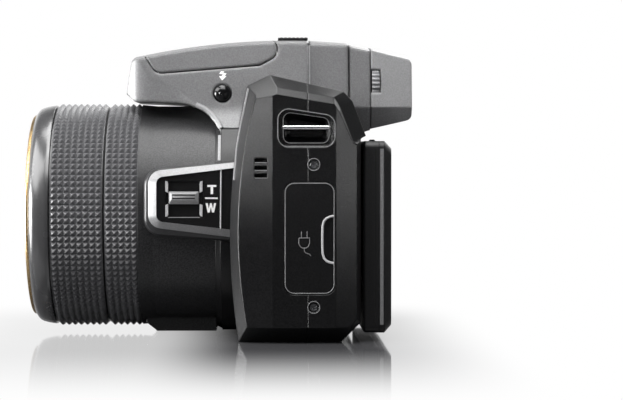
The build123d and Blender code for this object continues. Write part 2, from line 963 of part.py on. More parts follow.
def finder_top_z(y):
    """Height of the finder's roof line at a place along Y."""
    if y < finder_cover_back_y:
        share = (y - hump_seam_y) / (finder_cover_back_y - hump_seam_y)
        return hump_end_z + share * (finder_mid_z - hump_end_z)
    if y < eyecup_front_y:
        share = (y - finder_cover_back_y) / (eyecup_front_y - finder_cover_back_y)
        return finder_mid_z + share * (finder_neck_z - finder_mid_z)
    share = (y - eyecup_front_y) / (eyecup_back_y - eyecup_front_y)
    return finder_neck_z + share * (eyecup_top_z - finder_neck_z)


def finder_part(start, stop, low_start, low_stop, drop, inset, corner):
    """A length of the finder between two cross planes, under the sloping roof line."""
    face = outline(
        (start, low_start + inset),
        (start, finder_top_z(start) - drop - inset),
        (stop, finder_top_z(stop) - drop - inset, corner),
        (stop, low_stop + inset, corner),
    )
    deep = outline(
        (start, low_start - eyecup_chin * 2),
        (start, finder_top_z(start) - drop - inset),
        (stop, finder_top_z(stop) - drop - inset, corner),
        (stop, low_start - eyecup_chin * 2),
    )
    under = outline(
        (start - overrun, low_start + inset),
        (start - overrun, hump_end_z + overrun),
        (stop, hump_end_z + overrun),
        (stop, low_stop + inset, corner),
        (start, low_start + inset),
    )
    solid = arched(deep, inset) & side_plate(under, -finder_half, finder_half)
    return solid & front_plate(finder_front(inset + drop, min(low_start, low_stop) - drop), start, stop)


# Parts of the root body


def barrel_hole():
    return rod((0, barrel_back_y + overrun, lens_z), (0, -1, 0), barrel_radius + seat_gap,
               front_belly_y + overrun)


def collar():
    """The two stepped bands of the front cover round the barrel."""
    inner = barrel_radius + seat_gap
    band = turned(
        (collar_front_y, inner),
        (collar_front_y, collar_radius - collar_step),
        (collar_step_y, collar_radius - collar_step / 2),
        (collar_step_y, collar_radius),
        (-front_foot_y + wall, collar_radius),
        (-front_foot_y + wall, inner),
    )
    reach = collar_radius + overrun
    return band & block(-reach, reach, collar_front_y, 0, collar_foot, lens_z + reach)


def pod_faces(inset, front_inset):
    """Outline of the zoom switch pod in Y and Z."""
    return outline(
        (pod_front_y + front_inset, pod_top_front_z - inset, pod_corner),
        (pod_front_y + front_inset, pod_low_front_z + inset, pod_corner),
        (pod_back_y, pod_low_back_z + inset),
        (pod_back_y, pod_top_back_z - inset),
    )


def pod_solid():
    root = side_plate(pod_faces(0, 0), pod_root_x, pod_base_x)
    start = Plane.YZ.offset(pod_base_x) * pod_faces(0, 0)
    stop = Plane.YZ.offset(pod_face_x) * pod_faces(pod_bevel, pod_bevel_front)
    solid = root + loft([start, stop], ruled=True)
    return solid - turned(
        (rings_back_y, 0),
        (rings_back_y, band_radius),
        (band_y, barrel_radius),
        (barrel_back_y, barrel_radius),
        (barrel_back_y, 0),
    )


def panel_face():
    return outline(
        (panel_front, panel_top_front_z, panel_corner),
        (panel_front, panel_low_front_z, panel_corner),
        (panel_rear, panel_low_back_z),
        (panel_rear, panel_top_back_z),
    )


def window_face(grow):
    return outline(
        (window_front_y - grow, window_low_z - grow, window_corner),
        (window_back_y + grow, window_low_z - grow, window_corner),
        (window_back_y + grow, window_top_z + grow, window_corner),
        (window_front_y - grow, window_top_z + grow, window_corner),
    )


def strap_face(rim):
    """Outline of the strap recess on the left side; rim moves it inwards."""
    return outline(
        (strap_front_y + rim, strap_low_z + rim, strap_corner - rim / 2),
        (strap_back_y - rim, strap_low_z + rim, strap_corner - rim / 2),
        (strap_back_y - rim, strap_top_back_z - rim, strap_corner - rim / 2),
        (strap_front_y + rim, strap_top_z - rim, strap_corner - rim / 2),
    )


def door_face(grow):
    corner = door_corner + grow
    return outline(
        (door_front_y - grow, door_low_z - grow, corner),
        (door_back_y + grow, door_low_z - grow, corner),
        (door_back_y + grow, door_top_z + grow, corner),
        (door_front_y - grow, door_top_z + grow, corner),
    )


def battery_door_face(grow):
    corner = battery_door_corner + grow
    return outline(
        (battery_door_left_x + grow, battery_door_front_y - grow, corner),
        (battery_door_right_x - grow, battery_door_front_y - grow, corner),
        (battery_door_right_x - grow, battery_door_back_y + grow, corner),
        (battery_door_left_x + grow, battery_door_back_y + grow, corner),
    )


def grip_top(y):
    """Height of the grip's sloping top."""
    share = (y - grip_top_y) / (grip_back_y - grip_top_y)
    return grip_top_z + share * (grip_back_z - grip_top_z)


grip_slope = atan2(grip_back_z - grip_top_z, grip_back_y - grip_top_y)
shutter_axis = (0, -sin(grip_slope), cos(grip_slope))


def on_grip(height):
    """A point on the shutter button's axis, above the grip's top."""
    rise = height * shutter_axis[2]
    return (shutter_x, shutter_y + height * shutter_axis[1], grip_top(shutter_y) + rise)


slope_lean = atan2(lip_y - slope_y, slope_z - lip_z)
finder_key_axis = (0, cos(slope_lean), sin(slope_lean))


def on_slope(height):
    """A point on the finder key's axis, above the sloping back of the roof."""
    share = (slope_z - finder_key_z) / (slope_z - lip_z)
    y = slope_y + share * (lip_y - slope_y)
    return (finder_key_x, y + height * finder_key_axis[1], finder_key_z + height * finder_key_axis[2])


back_keys = {
    "menu_key": (menu_x, upper_key_z, key_radius),
    "playback_key": (play_x, upper_key_z, key_radius),
}


def rear_holes():
    """What is cut through the back wall for the keys, the pad and the command dial."""
    start = back_y + overrun
    cuts = [rod((x, start, z), (0, -1, 0), radius + key_gap, wall + overrun * 2)
            for x, z, radius in back_keys.values()]
    cuts.append(rod((pad_x, start, pad_z), (0, -1, 0), pad_radius + key_gap, wall + overrun * 2))
    middle = back_y + command_proud - command_radius
    dial_gap = command_thick / 2 + seam
    reach = command_radius + seam
    cuts.append(block(command_x - reach, command_x + reach, middle, start,
                      command_z - dial_gap, command_z + dial_gap))
    return cuts


def flash_key_hole():
    return rod((0, flash_key_y, flash_key_z), (1, 0, 0), flash_key_radius + key_gap, hump_foot_half)


def recess_block(grow):
    """The well in the back that takes the folded arm."""
    return block(
        arm_right_x - lug_width - grow, arm_left_x + lug_width + grow,
        back_y - recess_depth - grow, back_y + overrun,
        arm_pivot_z - arm_root - recess_air - grow, hinge_z + ear_radius + recess_air + grow,
    )


def lower_lugs():
    """The two lugs in the well that hold the arm's lower pin."""
    floor = back_y - recess_depth
    bar = Pos(hinge_y, arm_pivot_z) * Circle(arm_root)
    face = bar + outline(
        (floor, arm_pivot_z - arm_root),
        (hinge_y, arm_pivot_z - arm_root),
        (hinge_y, arm_pivot_z + arm_root),
        (floor, arm_pivot_z + arm_root),
    )
    face -= Pos(hinge_y, arm_pivot_z) * Circle(hinge_pin)
    left = side_plate(face, arm_left_x + ear_gap, arm_left_x + lug_width)
    right = side_plate(face, arm_right_x - lug_width, arm_right_x - ear_gap)
    return [left, right]


def casings():
    """The front and rear casings and the top cover."""
    solid = casing_solid()
    hollow = casing_hollow()
    shell = solid - hollow
    front_zone = block(grip_outer_x - overrun, left_x + overrun, grip_front_y - overrun, casing_seam_y,
                       -overrun, ridge_z + overrun)
    inside_strap = side_plate(strap_face(0), left_x - strap_depth - wall, left_x + overrun)
    inside_bay = side_plate(door_face(seam), left_x - door_thick - bay_depth - wall, left_x + overrun)
    shell = shell - inside_strap - inside_bay
    for y, z in ((side_screw_y, side_screw_top_z), (side_screw_y, side_screw_low_z)):
        start = (left_x + overrun, y, z)
        shell -= rod(start, (-1, 0, 0), screw_head + running_gap, overrun + screw_sink + rim_radius)
        shell -= rod(start, (-1, 0, 0), screw_shank + running_gap, overrun + screw_length)
    shell -= rod((0, 0, -overrun), (0, 0, 1), socket_flange + seat_gap, overrun + socket_flange_thick)
    shell -= rod((0, 0, -overrun), (0, 0, 1), socket_body + seat_gap, overrun * 2)

    front = shell & front_zone
    front = (front + (collar() - hollow - hump_solid())) - barrel_hole()
    front -= deck_zone()
    front -= pod_solid()
    front -= flash_key_hole()
    for number in range(slot_count):
        low = slot_low_z + number * slot_pitch
        front -= block(panel_inside_x - overrun, left_x + overrun,
                       slot_front_y, slot_front_y + slot_length,
                       low, low + slot_height)
    front -= plan_plate(battery_door_face(seam), -overrun, battery_door_thick + seat_gap)
    front -= plan_plate(battery_door_face(-wall), 0, battery_door_thick + overrun)
    for x in (base_screw_left_x, base_screw_right_x):
        front -= rod((x, base_screw_y, -overrun), (0, 0, 1), screw_head + running_gap,
                     overrun + screw_sink + rim_radius)
        front -= rod((x, base_screw_y, -overrun), (0, 0, 1), screw_shank + running_gap,
                     overrun + screw_length)
    boss_radius = shutter_radius + key_gap + rim_radius * 2
    front += rod(on_grip(-wall / 2), shutter_axis, boss_radius, wall / 2 + lever_thick)
    front -= rod(on_grip(-overrun), shutter_axis, shutter_radius + key_gap, overrun * 2)

    rear = shell - front_zone - deck_zone()
    rear += (recess_block(wall) & solid) - front_zone
    rear -= recess_block(0)
    for lug in lower_lugs():
        rear += lug
    for cut in rear_holes():
        rear -= cut
    boss_y = back_y + command_proud - command_radius
    for side in (-1, 1):
        near = command_z + side * (command_thick / 2 + seam)
        far = near + side * wall
        boss = block(command_x - spindle * 2, command_x + spindle * 2, boss_y - spindle * 2,
                     back_y - wall, near, far)
        rear += boss - rod((command_x, boss_y, command_z - command_thick * 2), (0, 0, 1), spindle,
                           command_thick * 4)
    rear -= rod(on_slope(overrun), tuple(-v for v in finder_key_axis), finder_key_radius + key_gap,
                overrun * 2)

    top = (shell & deck_zone()) - barrel_hole()
    top -= rod((mode_x, mode_y, deck_z - overrun), (0, 0, 1), spindle + running_gap, overrun * 2)
    hump = hump_solid() - hump_solid(wall)
    well = side_plate(lid_face(seam + housing_floor), -hump_foot_half, hump_foot_half)
    hump += (well & hump_solid()) - block(-hump_foot_half, hump_foot_half, hump_seam_y - wall, hump_seam_y,
                                          flank_z, hump_end_z + overrun)
    hump -= side_plate(lid_face(seam), -hump_foot_half, hump_foot_half)
    for lug in lugs(0):
        hump += lug
    hump -= rod((-hump_foot_half, lid_pivot_y, lid_pivot_z), (1, 0, 0), lid_pin, hump_foot_half * 2)
    hump -= rod((0, hump_seam_y, lens_z), (0, -1, 0), barrel_radius + barrel_air, hump_seam_y - nose_low_y)
    hump -= solid
    hump -= flash_key_hole()
    hump -= grille_plate(0)
    hump -= pod_solid()
    top += hump
    return front, rear, top, solid


def grille_plate(gap):
    """The thin slotted plate over the microphones, behind the flash."""
    return block(-grille_half + gap, grille_half - gap, grille_front_y + gap, hump_seam_y - gap,
                 hump_end_z - grille_thick, hump_end_z + plate_step)


# Lens


def barrel():
    """The fixed barrel with its foot, open at the front, with a floor that carries the rear group."""
    seat_front = knurl_front_y
    body = turned(
        (seat_front, barrel_bore),
        (seat_front, ring_seat),
        (rings_back_y, ring_seat),
        (rings_back_y, band_radius),
        (band_y, barrel_radius),
        (barrel_back_y, barrel_radius),
        (barrel_back_y, barrel_mouth_radius),
        (barrel_back_y - barrel_floor, barrel_mouth_radius),
        (barrel_back_y - barrel_floor, barrel_bore),
    )
    foot = side_plate(outline(
        (foot_nose_y, foot_chin_z + lens_z - barrel_radius),
        (foot_nose_y, foot_chin_z),
        (foot_chin_y, foot_z),
        (collar_front_y - seat_gap, foot_z),
        (collar_front_y - seat_gap, foot_chin_z + lens_z - barrel_radius),
    ), -foot_half, foot_half)
    foot += rod((0, foot_pad_y, 0), (0, 0, 1), foot_pad_radius, foot_chin_z)
    bore = rod((0, foot_nose_y - overrun, lens_z), (0, 1, 0), barrel_bore + wall,
               front_belly_y - foot_nose_y)
    return body + (foot - bore)


def nose_ring():
    """The smooth ring at the front, rounded over its edge, with a seat for the accent ring."""
    return turned(
        (front_y + accent_depth, nose_bore),
        (front_y + accent_depth, nose_tip),
        (nose_mid_y, nose_mid),
        (knurl_front_y - nose_land, nose_back),
        (knurl_front_y, nose_back - nose_land / 2),
        (knurl_front_y, nose_bore),
    )


def accent_ring():
    return turned(
        (front_y, nose_bore),
        (front_y, nose_tip - accent_width / 2),
        (front_y + accent_depth, nose_tip),
        (front_y + accent_depth, nose_bore),
    )


def knurled_ring(start, rows):
    """A rubber ring with a crest for each row of its knurling."""
    stop = start + rows * knurl_pitch + 2 * knurl_land
    root = ring_tip - knurl_depth
    corners = [(start, ring_seat), (start, root)]
    for row in range(rows):
        foot = start + knurl_land + row * knurl_pitch
        corners += [(foot, root), (foot + knurl_pitch / 2, ring_tip)]
    corners += [(stop - knurl_land, root), (stop, root), (stop, ring_seat)]
    return turned(*corners)


def outer_tube():
    radius = nose_bore - tube_gap
    guide = barrel_bore - tube_gap
    back = tube_outer_back_y
    return turned(
        (tube_tip_y, radius - tube_wall),
        (tube_tip_y, radius),
        (back - tube_wall * 2, radius),
        (back - tube_wall * 2, guide),
        (back, guide),
        (back, radius - tube_wall),
    )


def inner_tube():
    radius = nose_bore - tube_gap - tube_wall - tube_gap
    front = tube_tip_y + tube_tip_step
    return turned(
        (front, radius - tube_wall),
        (front, radius),
        (tube_inner_back_y, radius),
        (tube_inner_back_y, radius - tube_wall),
    )


def glass_front_y():
    return tube_tip_y + tube_tip_step + bezel_step + bezel_depth


def front_bezel():
    """The conical mask between the inner tube and the front glass."""
    radius = nose_bore - tube_gap * 2 - tube_wall * 2
    front = tube_tip_y + tube_tip_step + bezel_step
    back = front + bezel_depth + front_glass_edge + bezel_floor
    return turned(
        (front, radius - bezel_step),
        (front, radius),
        (back, radius),
        (back, front_glass_radius - bezel_floor),
        (back - bezel_floor, front_glass_radius - bezel_floor),
        (back - bezel_floor, front_glass_radius),
        (glass_front_y() - bezel_floor, front_glass_radius),
    )


def bulged_glass(radius, front, edge, bulge):
    """A round glass with a domed front, on the lens axis."""
    plane = Plane((0, 0, lens_z), x_dir=(0, 1, 0), z_dir=(1, 0, 0))
    sphere = (radius ** 2 + bulge ** 2) / (2 * bulge)
    middle_angle = asin(radius / sphere) / 2
    dome = ThreePointArc(
        (front - bulge, 0),
        (front - bulge + sphere * (1 - cos(middle_angle)), sphere * sin(middle_angle)),
        (front, radius),
    )
    back = front + edge
    face = make_face([dome, Line((front, radius), (back, radius)), Line((back, radius), (back, 0)),
                      Line((back, 0), (front - bulge, 0))])
    return revolve(plane * face, Axis((0, 0, lens_z), (0, 1, 0)), 360)


def rear_group():
    """The rear lens holder on the barrel's floor, with the aperture ring at its front."""
    floor = barrel_back_y - barrel_floor
    return turned(
        (rear_group_front_y, aperture_radius),
        (rear_group_front_y, rear_group_radius),
        (floor - rear_group_wall, rear_group_radius),
        (floor - rear_group_wall, barrel_mouth_radius + rear_group_wall),
        (floor, barrel_mouth_radius + rear_group_wall),
        (floor, barrel_mouth_radius - running_gap),
        (barrel_back_y, barrel_mouth_radius - running_gap),
        (barrel_back_y, rear_group_radius - rear_group_wall),
        (rear_group_front_y + rear_group_wall, rear_group_radius - rear_group_wall),
        (rear_group_front_y + rear_group_wall, aperture_radius),
    )


# Zoom switch


def pod_frame():
    solid = pod_solid()
    solid -= side_plate(panel_face(), pod_face_x - panel_sink - panel_thick, pod_face_x + overrun)
    return solid - side_plate(window_face(seat_gap), pod_face_x - panel_sink - window_depth,
                              pod_face_x + overrun)


def pod_panel():
    face = panel_face() - window_face(0)
    return side_plate(face, pod_face_x - panel_sink - panel_thick, pod_face_x - panel_sink)


def zoom_slider():
    """The sprung zoom key: a ridged cap with sloping ends, on a stem that runs in the window."""
    middle = (window_front_y + window_back_y) / 2
    near = middle - slider_length / 2
    far = middle + slider_length / 2
    floor = pod_face_x - panel_sink - window_depth + seat_gap
    panel = pod_face_x - panel_sink
    low = slider_z - slider_height / 2
    top = slider_z + slider_height / 2
    foot = block(floor, panel - panel_thick, near - slider_slope / 2, far + slider_slope / 2, low, top)
    base = Plane.YZ.offset(panel - panel_thick) * Pos(middle, slider_z) * Rectangle(
        slider_length, slider_height)
    cap = Plane.YZ.offset(panel + slider_proud) * Pos(middle, slider_z) * Rectangle(
        slider_length - slider_slope, slider_height - slider_slope * 2)
    return foot + loft([base, cap], ruled=True)


# Left side


def strap_pocket():
    tub = side_plate(strap_face(0), left_x - strap_depth - wall, left_x - strap_bar_sink / 2)
    tub &= casing_solid()
    tub -= side_plate(strap_face(strap_rim), left_x - strap_depth, left_x + overrun)
    slot = strap_bar + running_gap
    bite = strap_bar_bite / 2
    tub -= block(left_x - strap_bar_sink - strap_bar, left_x + overrun, strap_front_y + bite,
                 strap_back_y - bite, strap_bar_z - slot, strap_bar_z + slot)
    return tub - rod(strap_bar_start(running_gap), (0, 1, 0), slot, strap_bar_length(running_gap))


def strap_bar_start(gap):
    return (left_x - strap_bar_sink - strap_bar, strap_front_y + strap_bar_bite / 2 - gap, strap_bar_z)


def strap_bar_length(gap):
    return strap_back_y - strap_front_y - strap_bar_bite + gap * 2


def port_bay():
    start = left_x - door_thick - bay_depth - wall
    tub = side_plate(door_face(seam), start, left_x - door_thick - seat_gap)
    return tub - side_plate(door_face(-bay_margin), start + wall, left_x)


def port_sockets():
    """Two cable sockets on the floor of the bay."""
    floor = left_x - door_thick - bay_depth
    middle = (door_front_y + door_back_y) / 2
    solids = []
    for z, width, height in ((usb_z, usb_width, usb_height), (video_z, video_width, video_height)):
        shell = block(floor, floor + socket_depth, middle - width / 2, middle + width / 2,
                      z - height / 2, z + height / 2)
        inner = block(floor + socket_wall, left_x, middle - width / 2 + socket_wall,
                      middle + width / 2 - socket_wall, z - height / 2 + socket_wall,
                      z + height / 2 - socket_wall)
        tongue = block(floor, floor + socket_depth - socket_wall, middle - socket_wall / 2,
                       middle + socket_wall / 2, z - height / 2 + socket_wall * 2,
                       z + height / 2 - socket_wall * 2)
        solids.append(shell - inner + tongue)
    return Compound(children=solids)


def port_door():
    solid = side_plate(door_face(0), left_x - door_thick, left_x)
    notch = outline(
        (door_back_y + seam, notch_low_z),
        (door_back_y - notch_reach, notch_low_z, notch_reach * notch_round_share),
        (door_back_y - notch_reach, notch_top_z, notch_reach * notch_round_share),
        (door_back_y + seam, notch_top_z),
    )
    return solid - side_plate(notch, left_x - notch_depth, left_x + overrun)


def screws():
    """The case screws: two in the left side and two in the base."""
    solids = []
    heights = (side_screw_top_z, side_screw_low_z)
    places = [((left_x - screw_sink, side_screw_y, z), (-1, 0, 0)) for z in heights]
    places += [((x, base_screw_y, screw_sink), (0, 0, 1)) for x in (base_screw_left_x, base_screw_right_x)]
    for start, along in places:
        head = rod(start, along, screw_head, rim_radius)
        shank = rod(start, along, screw_shank, screw_length)
        solids.append(head + shank)
    return Compound(children=solids)


# Base


def tripod_socket():
    body = rod((0, 0, 0), (0, 0, 1), socket_flange, socket_flange_thick)
    body += rod((0, 0, 0), (0, 0, 1), socket_body, socket_length + wall)
    return body - rod((0, 0, -overrun), (0, 0, 1), socket_radius, overrun + socket_length)


def battery_door():
    return plan_plate(battery_door_face(0), 0, battery_door_thick)


def battery():
    x_start = battery_door_left_x - wall - card_thick - seam * 2
    middle_y = (battery_door_front_y + battery_door_back_y) / 2
    low = battery_door_thick + seat_gap
    face = outline(
        (x_start, middle_y - battery_length / 2, battery_corner),
        (x_start - battery_width, middle_y - battery_length / 2, battery_corner),
        (x_start - battery_width, middle_y + battery_length / 2, battery_corner),
        (x_start, middle_y + battery_length / 2, battery_corner),
    )
    return plan_plate(face, low, low + battery_height)


def memory_card():
    x_start = battery_door_left_x - wall - seam
    middle_y = (battery_door_front_y + battery_door_back_y) / 2
    low = battery_door_thick + seat_gap
    near = middle_y - card_length / 2
    far = middle_y + card_length / 2
    face = outline(
        (near, low),
        (far, low),
        (far, low + card_height),
        (near + card_corner, low + card_height),
        (near, low + card_height - card_corner),
    )
    return side_plate(face, x_start - card_thick, x_start)


# Inside


def chassis():
    """The steel plate behind the lens, with the bracket that carries the tripod socket."""
    plate = block(-chassis_half, chassis_half, barrel_back_y, barrel_back_y + chassis_thick,
                  chassis_low_z, chassis_top_z)
    plate -= rod((0, 0, lens_z), (0, -1, 0), sensor_half * sensor_window_share, -barrel_back_y + overrun)
    foot_top = socket_length + wall
    shelf = block(-socket_flange * 2, socket_flange * 2, barrel_back_y, socket_body, foot_top,
                  foot_top + chassis_thick)
    return plate + shelf


def sensor_module():
    front = barrel_back_y
    holder = block(-sensor_half, sensor_half, front, front + sensor_depth, lens_z - sensor_half,
                   lens_z + sensor_half)
    pocket = block(-sensor_glass_half, sensor_glass_half, front - overrun, front + sensor_depth / 2,
                   lens_z - sensor_glass_half, lens_z + sensor_glass_half)
    tie = block(-sensor_half * 2, sensor_half * 2, barrel_back_y + chassis_thick,
                barrel_back_y + chassis_thick * 2, lens_z - sensor_half / 2, lens_z + sensor_half / 2)
    return holder - pocket + tie


def main_board():
    board = block(board_right_x, board_left_x, board_y, board_y + board_thick, chassis_low_z + wall,
                  chassis_top_z - wall)
    low_chip_x = -chip_size * chip_place_share
    for x, z in ((-chip_size, lens_z), (chip_size, lens_z + chip_size), (low_chip_x, lens_z / 2)):
        board += block(x - chip_size / 2, x + chip_size / 2, board_y + board_thick,
                       board_y + board_thick + chip_thick, z - chip_size / 2, z + chip_size / 2)
    for x in (-chassis_half + wall * 2, chassis_half - wall * 2):
        board += rod((x, barrel_back_y + chassis_thick, chassis_top_z - wall * 3), (0, 1, 0), wall,
                     board_y - barrel_back_y - chassis_thick)
    return board


def flash_capacitor():
    y = board_y + board_thick + capacitor_radius
    start = (capacitor_x, y, lens_z - capacitor_length / 2)
    return rod(start, (0, 0, 1), capacitor_radius, capacitor_length)


def zoom_motor():
    x = barrel_radius + motor_radius + wall
    y = barrel_back_y - motor_radius
    body = rod((-x, y, lens_z - motor_length), (0, 0, 1), motor_radius, motor_length)
    return body + rod((-x, y, lens_z), (0, 0, 1), motor_radius / 3, motor_length / 2)


def speaker():
    y = slot_front_y + slot_length / 2 + rim_radius
    z = slot_low_z + (slot_count - 1) * slot_pitch / 2 + slot_height / 2
    start = (panel_inside_x - speaker_thick, y, z)
    return domed(start, (1, 0, 0), speaker_radius, speaker_thick, rim_radius)


# Controls


def mode_dial():
    rim = Pos(mode_x, mode_y, deck_z + seat_gap) * fluted(mode_radius, mode_ribs, rib_depth)
    disc = extrude(rim, mode_height)
    start = (mode_x, mode_y, deck_z - spindle_length)
    return disc + rod(start, (0, 0, 1), spindle, spindle_length + mode_height)


def shutter_button():
    return domed(on_grip(-shutter_length), shutter_axis, shutter_radius, shutter_length + shutter_proud,
                 key_dome * 2)


def power_lever():
    """The power ring round the shutter button with a finger tab at its front."""
    inner = shutter_radius + key_gap + rim_radius * 2 + running_gap
    plane = Plane(origin=on_grip(seat_gap), x_dir=(1, 0, 0), z_dir=shutter_axis)
    face = Circle(lever_radius) + Pos(0, -lever_radius) * Rectangle(lever_tab_width, lever_tab * 2)
    return extrude(plane * (face - Circle(inner)), lever_thick)


def back_key(x, z, radius):
    return domed((x, back_y - key_length, z), (0, 1, 0), radius, key_length + key_proud, key_dome)


def control_pad():
    """The four-way ring round the centre key."""
    start = (pad_x, back_y - key_length, pad_z)
    ring = domed(start, (0, 1, 0), pad_radius, key_length + key_proud, key_dome)
    return ring - rod((pad_x, back_y - overrun, pad_z), (0, 1, 0), ok_radius + key_gap, overrun * 2)


def rear_board():
    """The switch board that the rear keys press on, with its two posts."""
    front = back_y - key_length - key_travel - seat_gap - board_thick
    left = menu_x + key_radius * 2
    right = play_x - key_radius
    board = block(right, left, front, front + board_thick, pad_z - pad_radius, upper_key_z + key_radius)
    for x in (right + wall, left - wall):
        board += rod((x, front, upper_key_z - key_radius * 2), (0, 1, 0), wall / 2, back_y - wall - front)
    return board


def command_dial():
    middle = back_y + command_proud - command_radius
    disc = fluted(command_radius, command_ribs, rib_depth) - Circle(spindle + running_gap)
    low = command_z - command_thick / 2
    return plan_plate(Pos(command_x, middle) * disc, low, low + command_thick)


def command_pin():
    middle = back_y + command_proud - command_radius
    half = command_thick / 2 + seam + wall
    return rod((command_x, middle, command_z - half), (0, 0, 1), spindle, half * 2)


def flash_key():
    reach = hump_waist_half - (flash_key_z - hump_waist_z) * (hump_waist_half - hump_crown_half) / (
        hump_end_z + plate_step - hump_waist_z)
    return domed((reach - key_length - wall, flash_key_y, flash_key_z), (1, 0, 0), flash_key_radius,
                 key_length + wall + flash_key_proud, flash_key_radius * flash_key_round_share)


def finder_key():
    length = key_length + key_proud
    return domed(on_slope(-key_length), finder_key_axis, finder_key_radius, length, key_dome)


def thumb_pad():
    face = outline(
        (thumb_left_x, back_y - wall),
        (thumb_left_x, back_y + thumb_proud / 3, rim_radius),
        (thumb_right_x + thumb_proud, back_y + thumb_proud, thumb_proud / 2),
        (thumb_right_x, back_y + thumb_proud / 3, rim_radius),
        (thumb_right_x, back_y - right_corner / 2),
    )
    return plan_plate(face, thumb_low_z, thumb_top_z) - casing_solid()


def grip_rubber():
    """A rubber skin round the grip, let into the front casing by its own thickness."""
    skin = plan_plate(grip_plan(), rubber_low, rubber_high)
    skin &= side_plate(grip_face(), grip_outer_x, grip_inner_x + rubber_thick * 3)
    inner = plan_plate(offset(grip_plan(), -rubber_thick), 0, deck_z)
    inner &= side_plate(offset(grip_face(), -rubber_thick), grip_outer_x, bevel_x)
    behind = block(grip_outer_x - overrun, grip_inner_x + overrun, rubber_back_y, back_y, 0, deck_z)
    return skin - inner - behind


# Flash head


def lid_shell():
    """The pop-up head: a hollow cover, with its lamp opening in the sloping front."""
    head = hump_solid() & side_plate(lid_face(0), -hump_foot_half, hump_foot_half)
    hollow = side_plate(offset(lid_face(0), -lid_wall), -hump_foot_half, hump_foot_half)
    hollow &= hump_solid(lid_wall)
    hollow &= block(-hump_foot_half, hump_foot_half, nose_low_y, lid_hollow_back_y, flank_z,
                    hump_end_z + overrun)
    head -= hollow
    for slot in lugs(lid_swing_gap):
        head -= slot
    pin_hole_half = lid_pin_half + seat_gap
    head -= rod((-pin_hole_half, lid_pivot_y, lid_pivot_z), (1, 0, 0), lid_pin + running_gap,
                pin_hole_half * 2)
    head -= lamp_block(0, lid_wall + lamp_sink, -overrun)
    trough_end = lamp_thick + lamp_sink + reflector_depth + running_gap
    return head - lamp_block(reflector_wall - running_gap, trough_end, -overrun)


def flash_hinge_pin():
    return rod((-lid_pin_half, lid_pivot_y, lid_pivot_z), (1, 0, 0), lid_pin, lid_pin_half * 2)


def lamp_block(inset, depth, start):
    """A box through the head's sloping front, from start to depth along its inward normal."""
    slope = atan2(lid_low_front_z - nose_top_z, lid_low_front_y - lid_tip_y)
    middle_y = lid_tip_y + lamp_place_share * (lid_low_front_y - lid_tip_y)
    middle_z = nose_top_z + lamp_place_share * (lid_low_front_z - nose_top_z)
    plane = Plane((0, middle_y, middle_z), x_dir=(1, 0, 0), z_dir=(0, -sin(slope), cos(slope)))
    face = Rectangle(lamp_width - inset * 2, lamp_height - inset * 2)
    return extrude(plane.offset(start) * face, depth - start)


def flash_window():
    return lamp_block(running_gap, lamp_thick + lamp_sink, lamp_sink)


def flash_lamp():
    """The lamp's bright trough behind the window."""
    start = lamp_thick + lamp_sink
    trough = lamp_block(reflector_wall, start + reflector_depth, start)
    return trough - lamp_block(reflector_wall * 2, start + reflector_depth / 2, start)


# Finder


def tunnel(start, stop):
    face = outline(
        (-tunnel_half, tunnel_low_z, port_round),
        (tunnel_half, tunnel_low_z, port_round),
        (tunnel_half, tunnel_top_z, port_round),
        (-tunnel_half, tunnel_top_z, port_round),
    )
    return front_plate(face, start, stop)


def finder_cover(solid):
    """The cover between the hump and the neck, bridging from roof to crown."""
    start = hump_seam_y + finder_line
    outer = finder_part(start, finder_cover_back_y, hump_foot_z, hump_foot_z, 0, 0, 0)
    inner = finder_part(start - overrun, finder_cover_back_y - wall, hump_foot_z, hump_foot_z, 0, wall, 0)
    return outer - inner - solid


def finder_neck(solid):
    """The neck that carries the eyecup and the dioptre wheel's shaft."""
    outer = finder_part(finder_neck_front_y, finder_neck_back_y, lip_z, eyecup_low_front_z - finder_drop,
                        finder_drop, 0, 0)
    outer = outer - solid - tunnel(finder_neck_front_y, finder_neck_back_y + overrun)
    outer -= rod((wheel_x(), finder_neck_back_y + overrun, wheel_z), (0, -1, 0), wheel_shaft + running_gap,
                 overrun + wheel_shaft_length + seat_gap)
    return outer


def wheel_x():
    """The wheel's centre, set so that its rim stands just proud of the finder's side."""
    share = (wheel_z - finder_keel_z) / (finder_mid_z + plate_step - finder_keel_z)
    return finder_half - share * (finder_half - finder_crown_half) + wheel_proud - wheel_radius


def eyecup():
    """The eyecup block with its rounded port and the slot for the dioptre wheel."""
    solid = finder_part(eyecup_front_y, eyecup_back_y, eyecup_low_front_z, eyecup_low_z, 0, 0,
                        eyecup_corner)
    port = outline(
        (-port_half, port_low_z, port_corner),
        (port_half, port_low_z, port_corner),
        (port_half, port_top_z, port_corner),
        (-port_half, port_top_z, port_corner),
    )
    solid -= front_plate(port, eyecup_back_y - port_depth, eyecup_back_y + overrun)
    solid -= tunnel(eyecup_front_y - overrun, eyecup_back_y)
    slot = wheel_thick + wheel_y - eyecup_front_y + seam
    return solid - rod((wheel_x(), eyecup_front_y - overrun, wheel_z), (0, 1, 0), wheel_radius + seam,
                       slot + overrun)


def eye_lens():
    """The eyepiece glass on the step at the end of the port."""
    port = outline(
        (-port_half + seat_gap, port_low_z + seat_gap, port_corner),
        (port_half - seat_gap, port_low_z + seat_gap, port_corner),
        (port_half - seat_gap, port_top_z - seat_gap, port_corner),
        (-port_half + seat_gap, port_top_z - seat_gap, port_corner),
    )
    floor = eyecup_back_y - port_depth
    return front_plate(port, floor, floor + port_round)


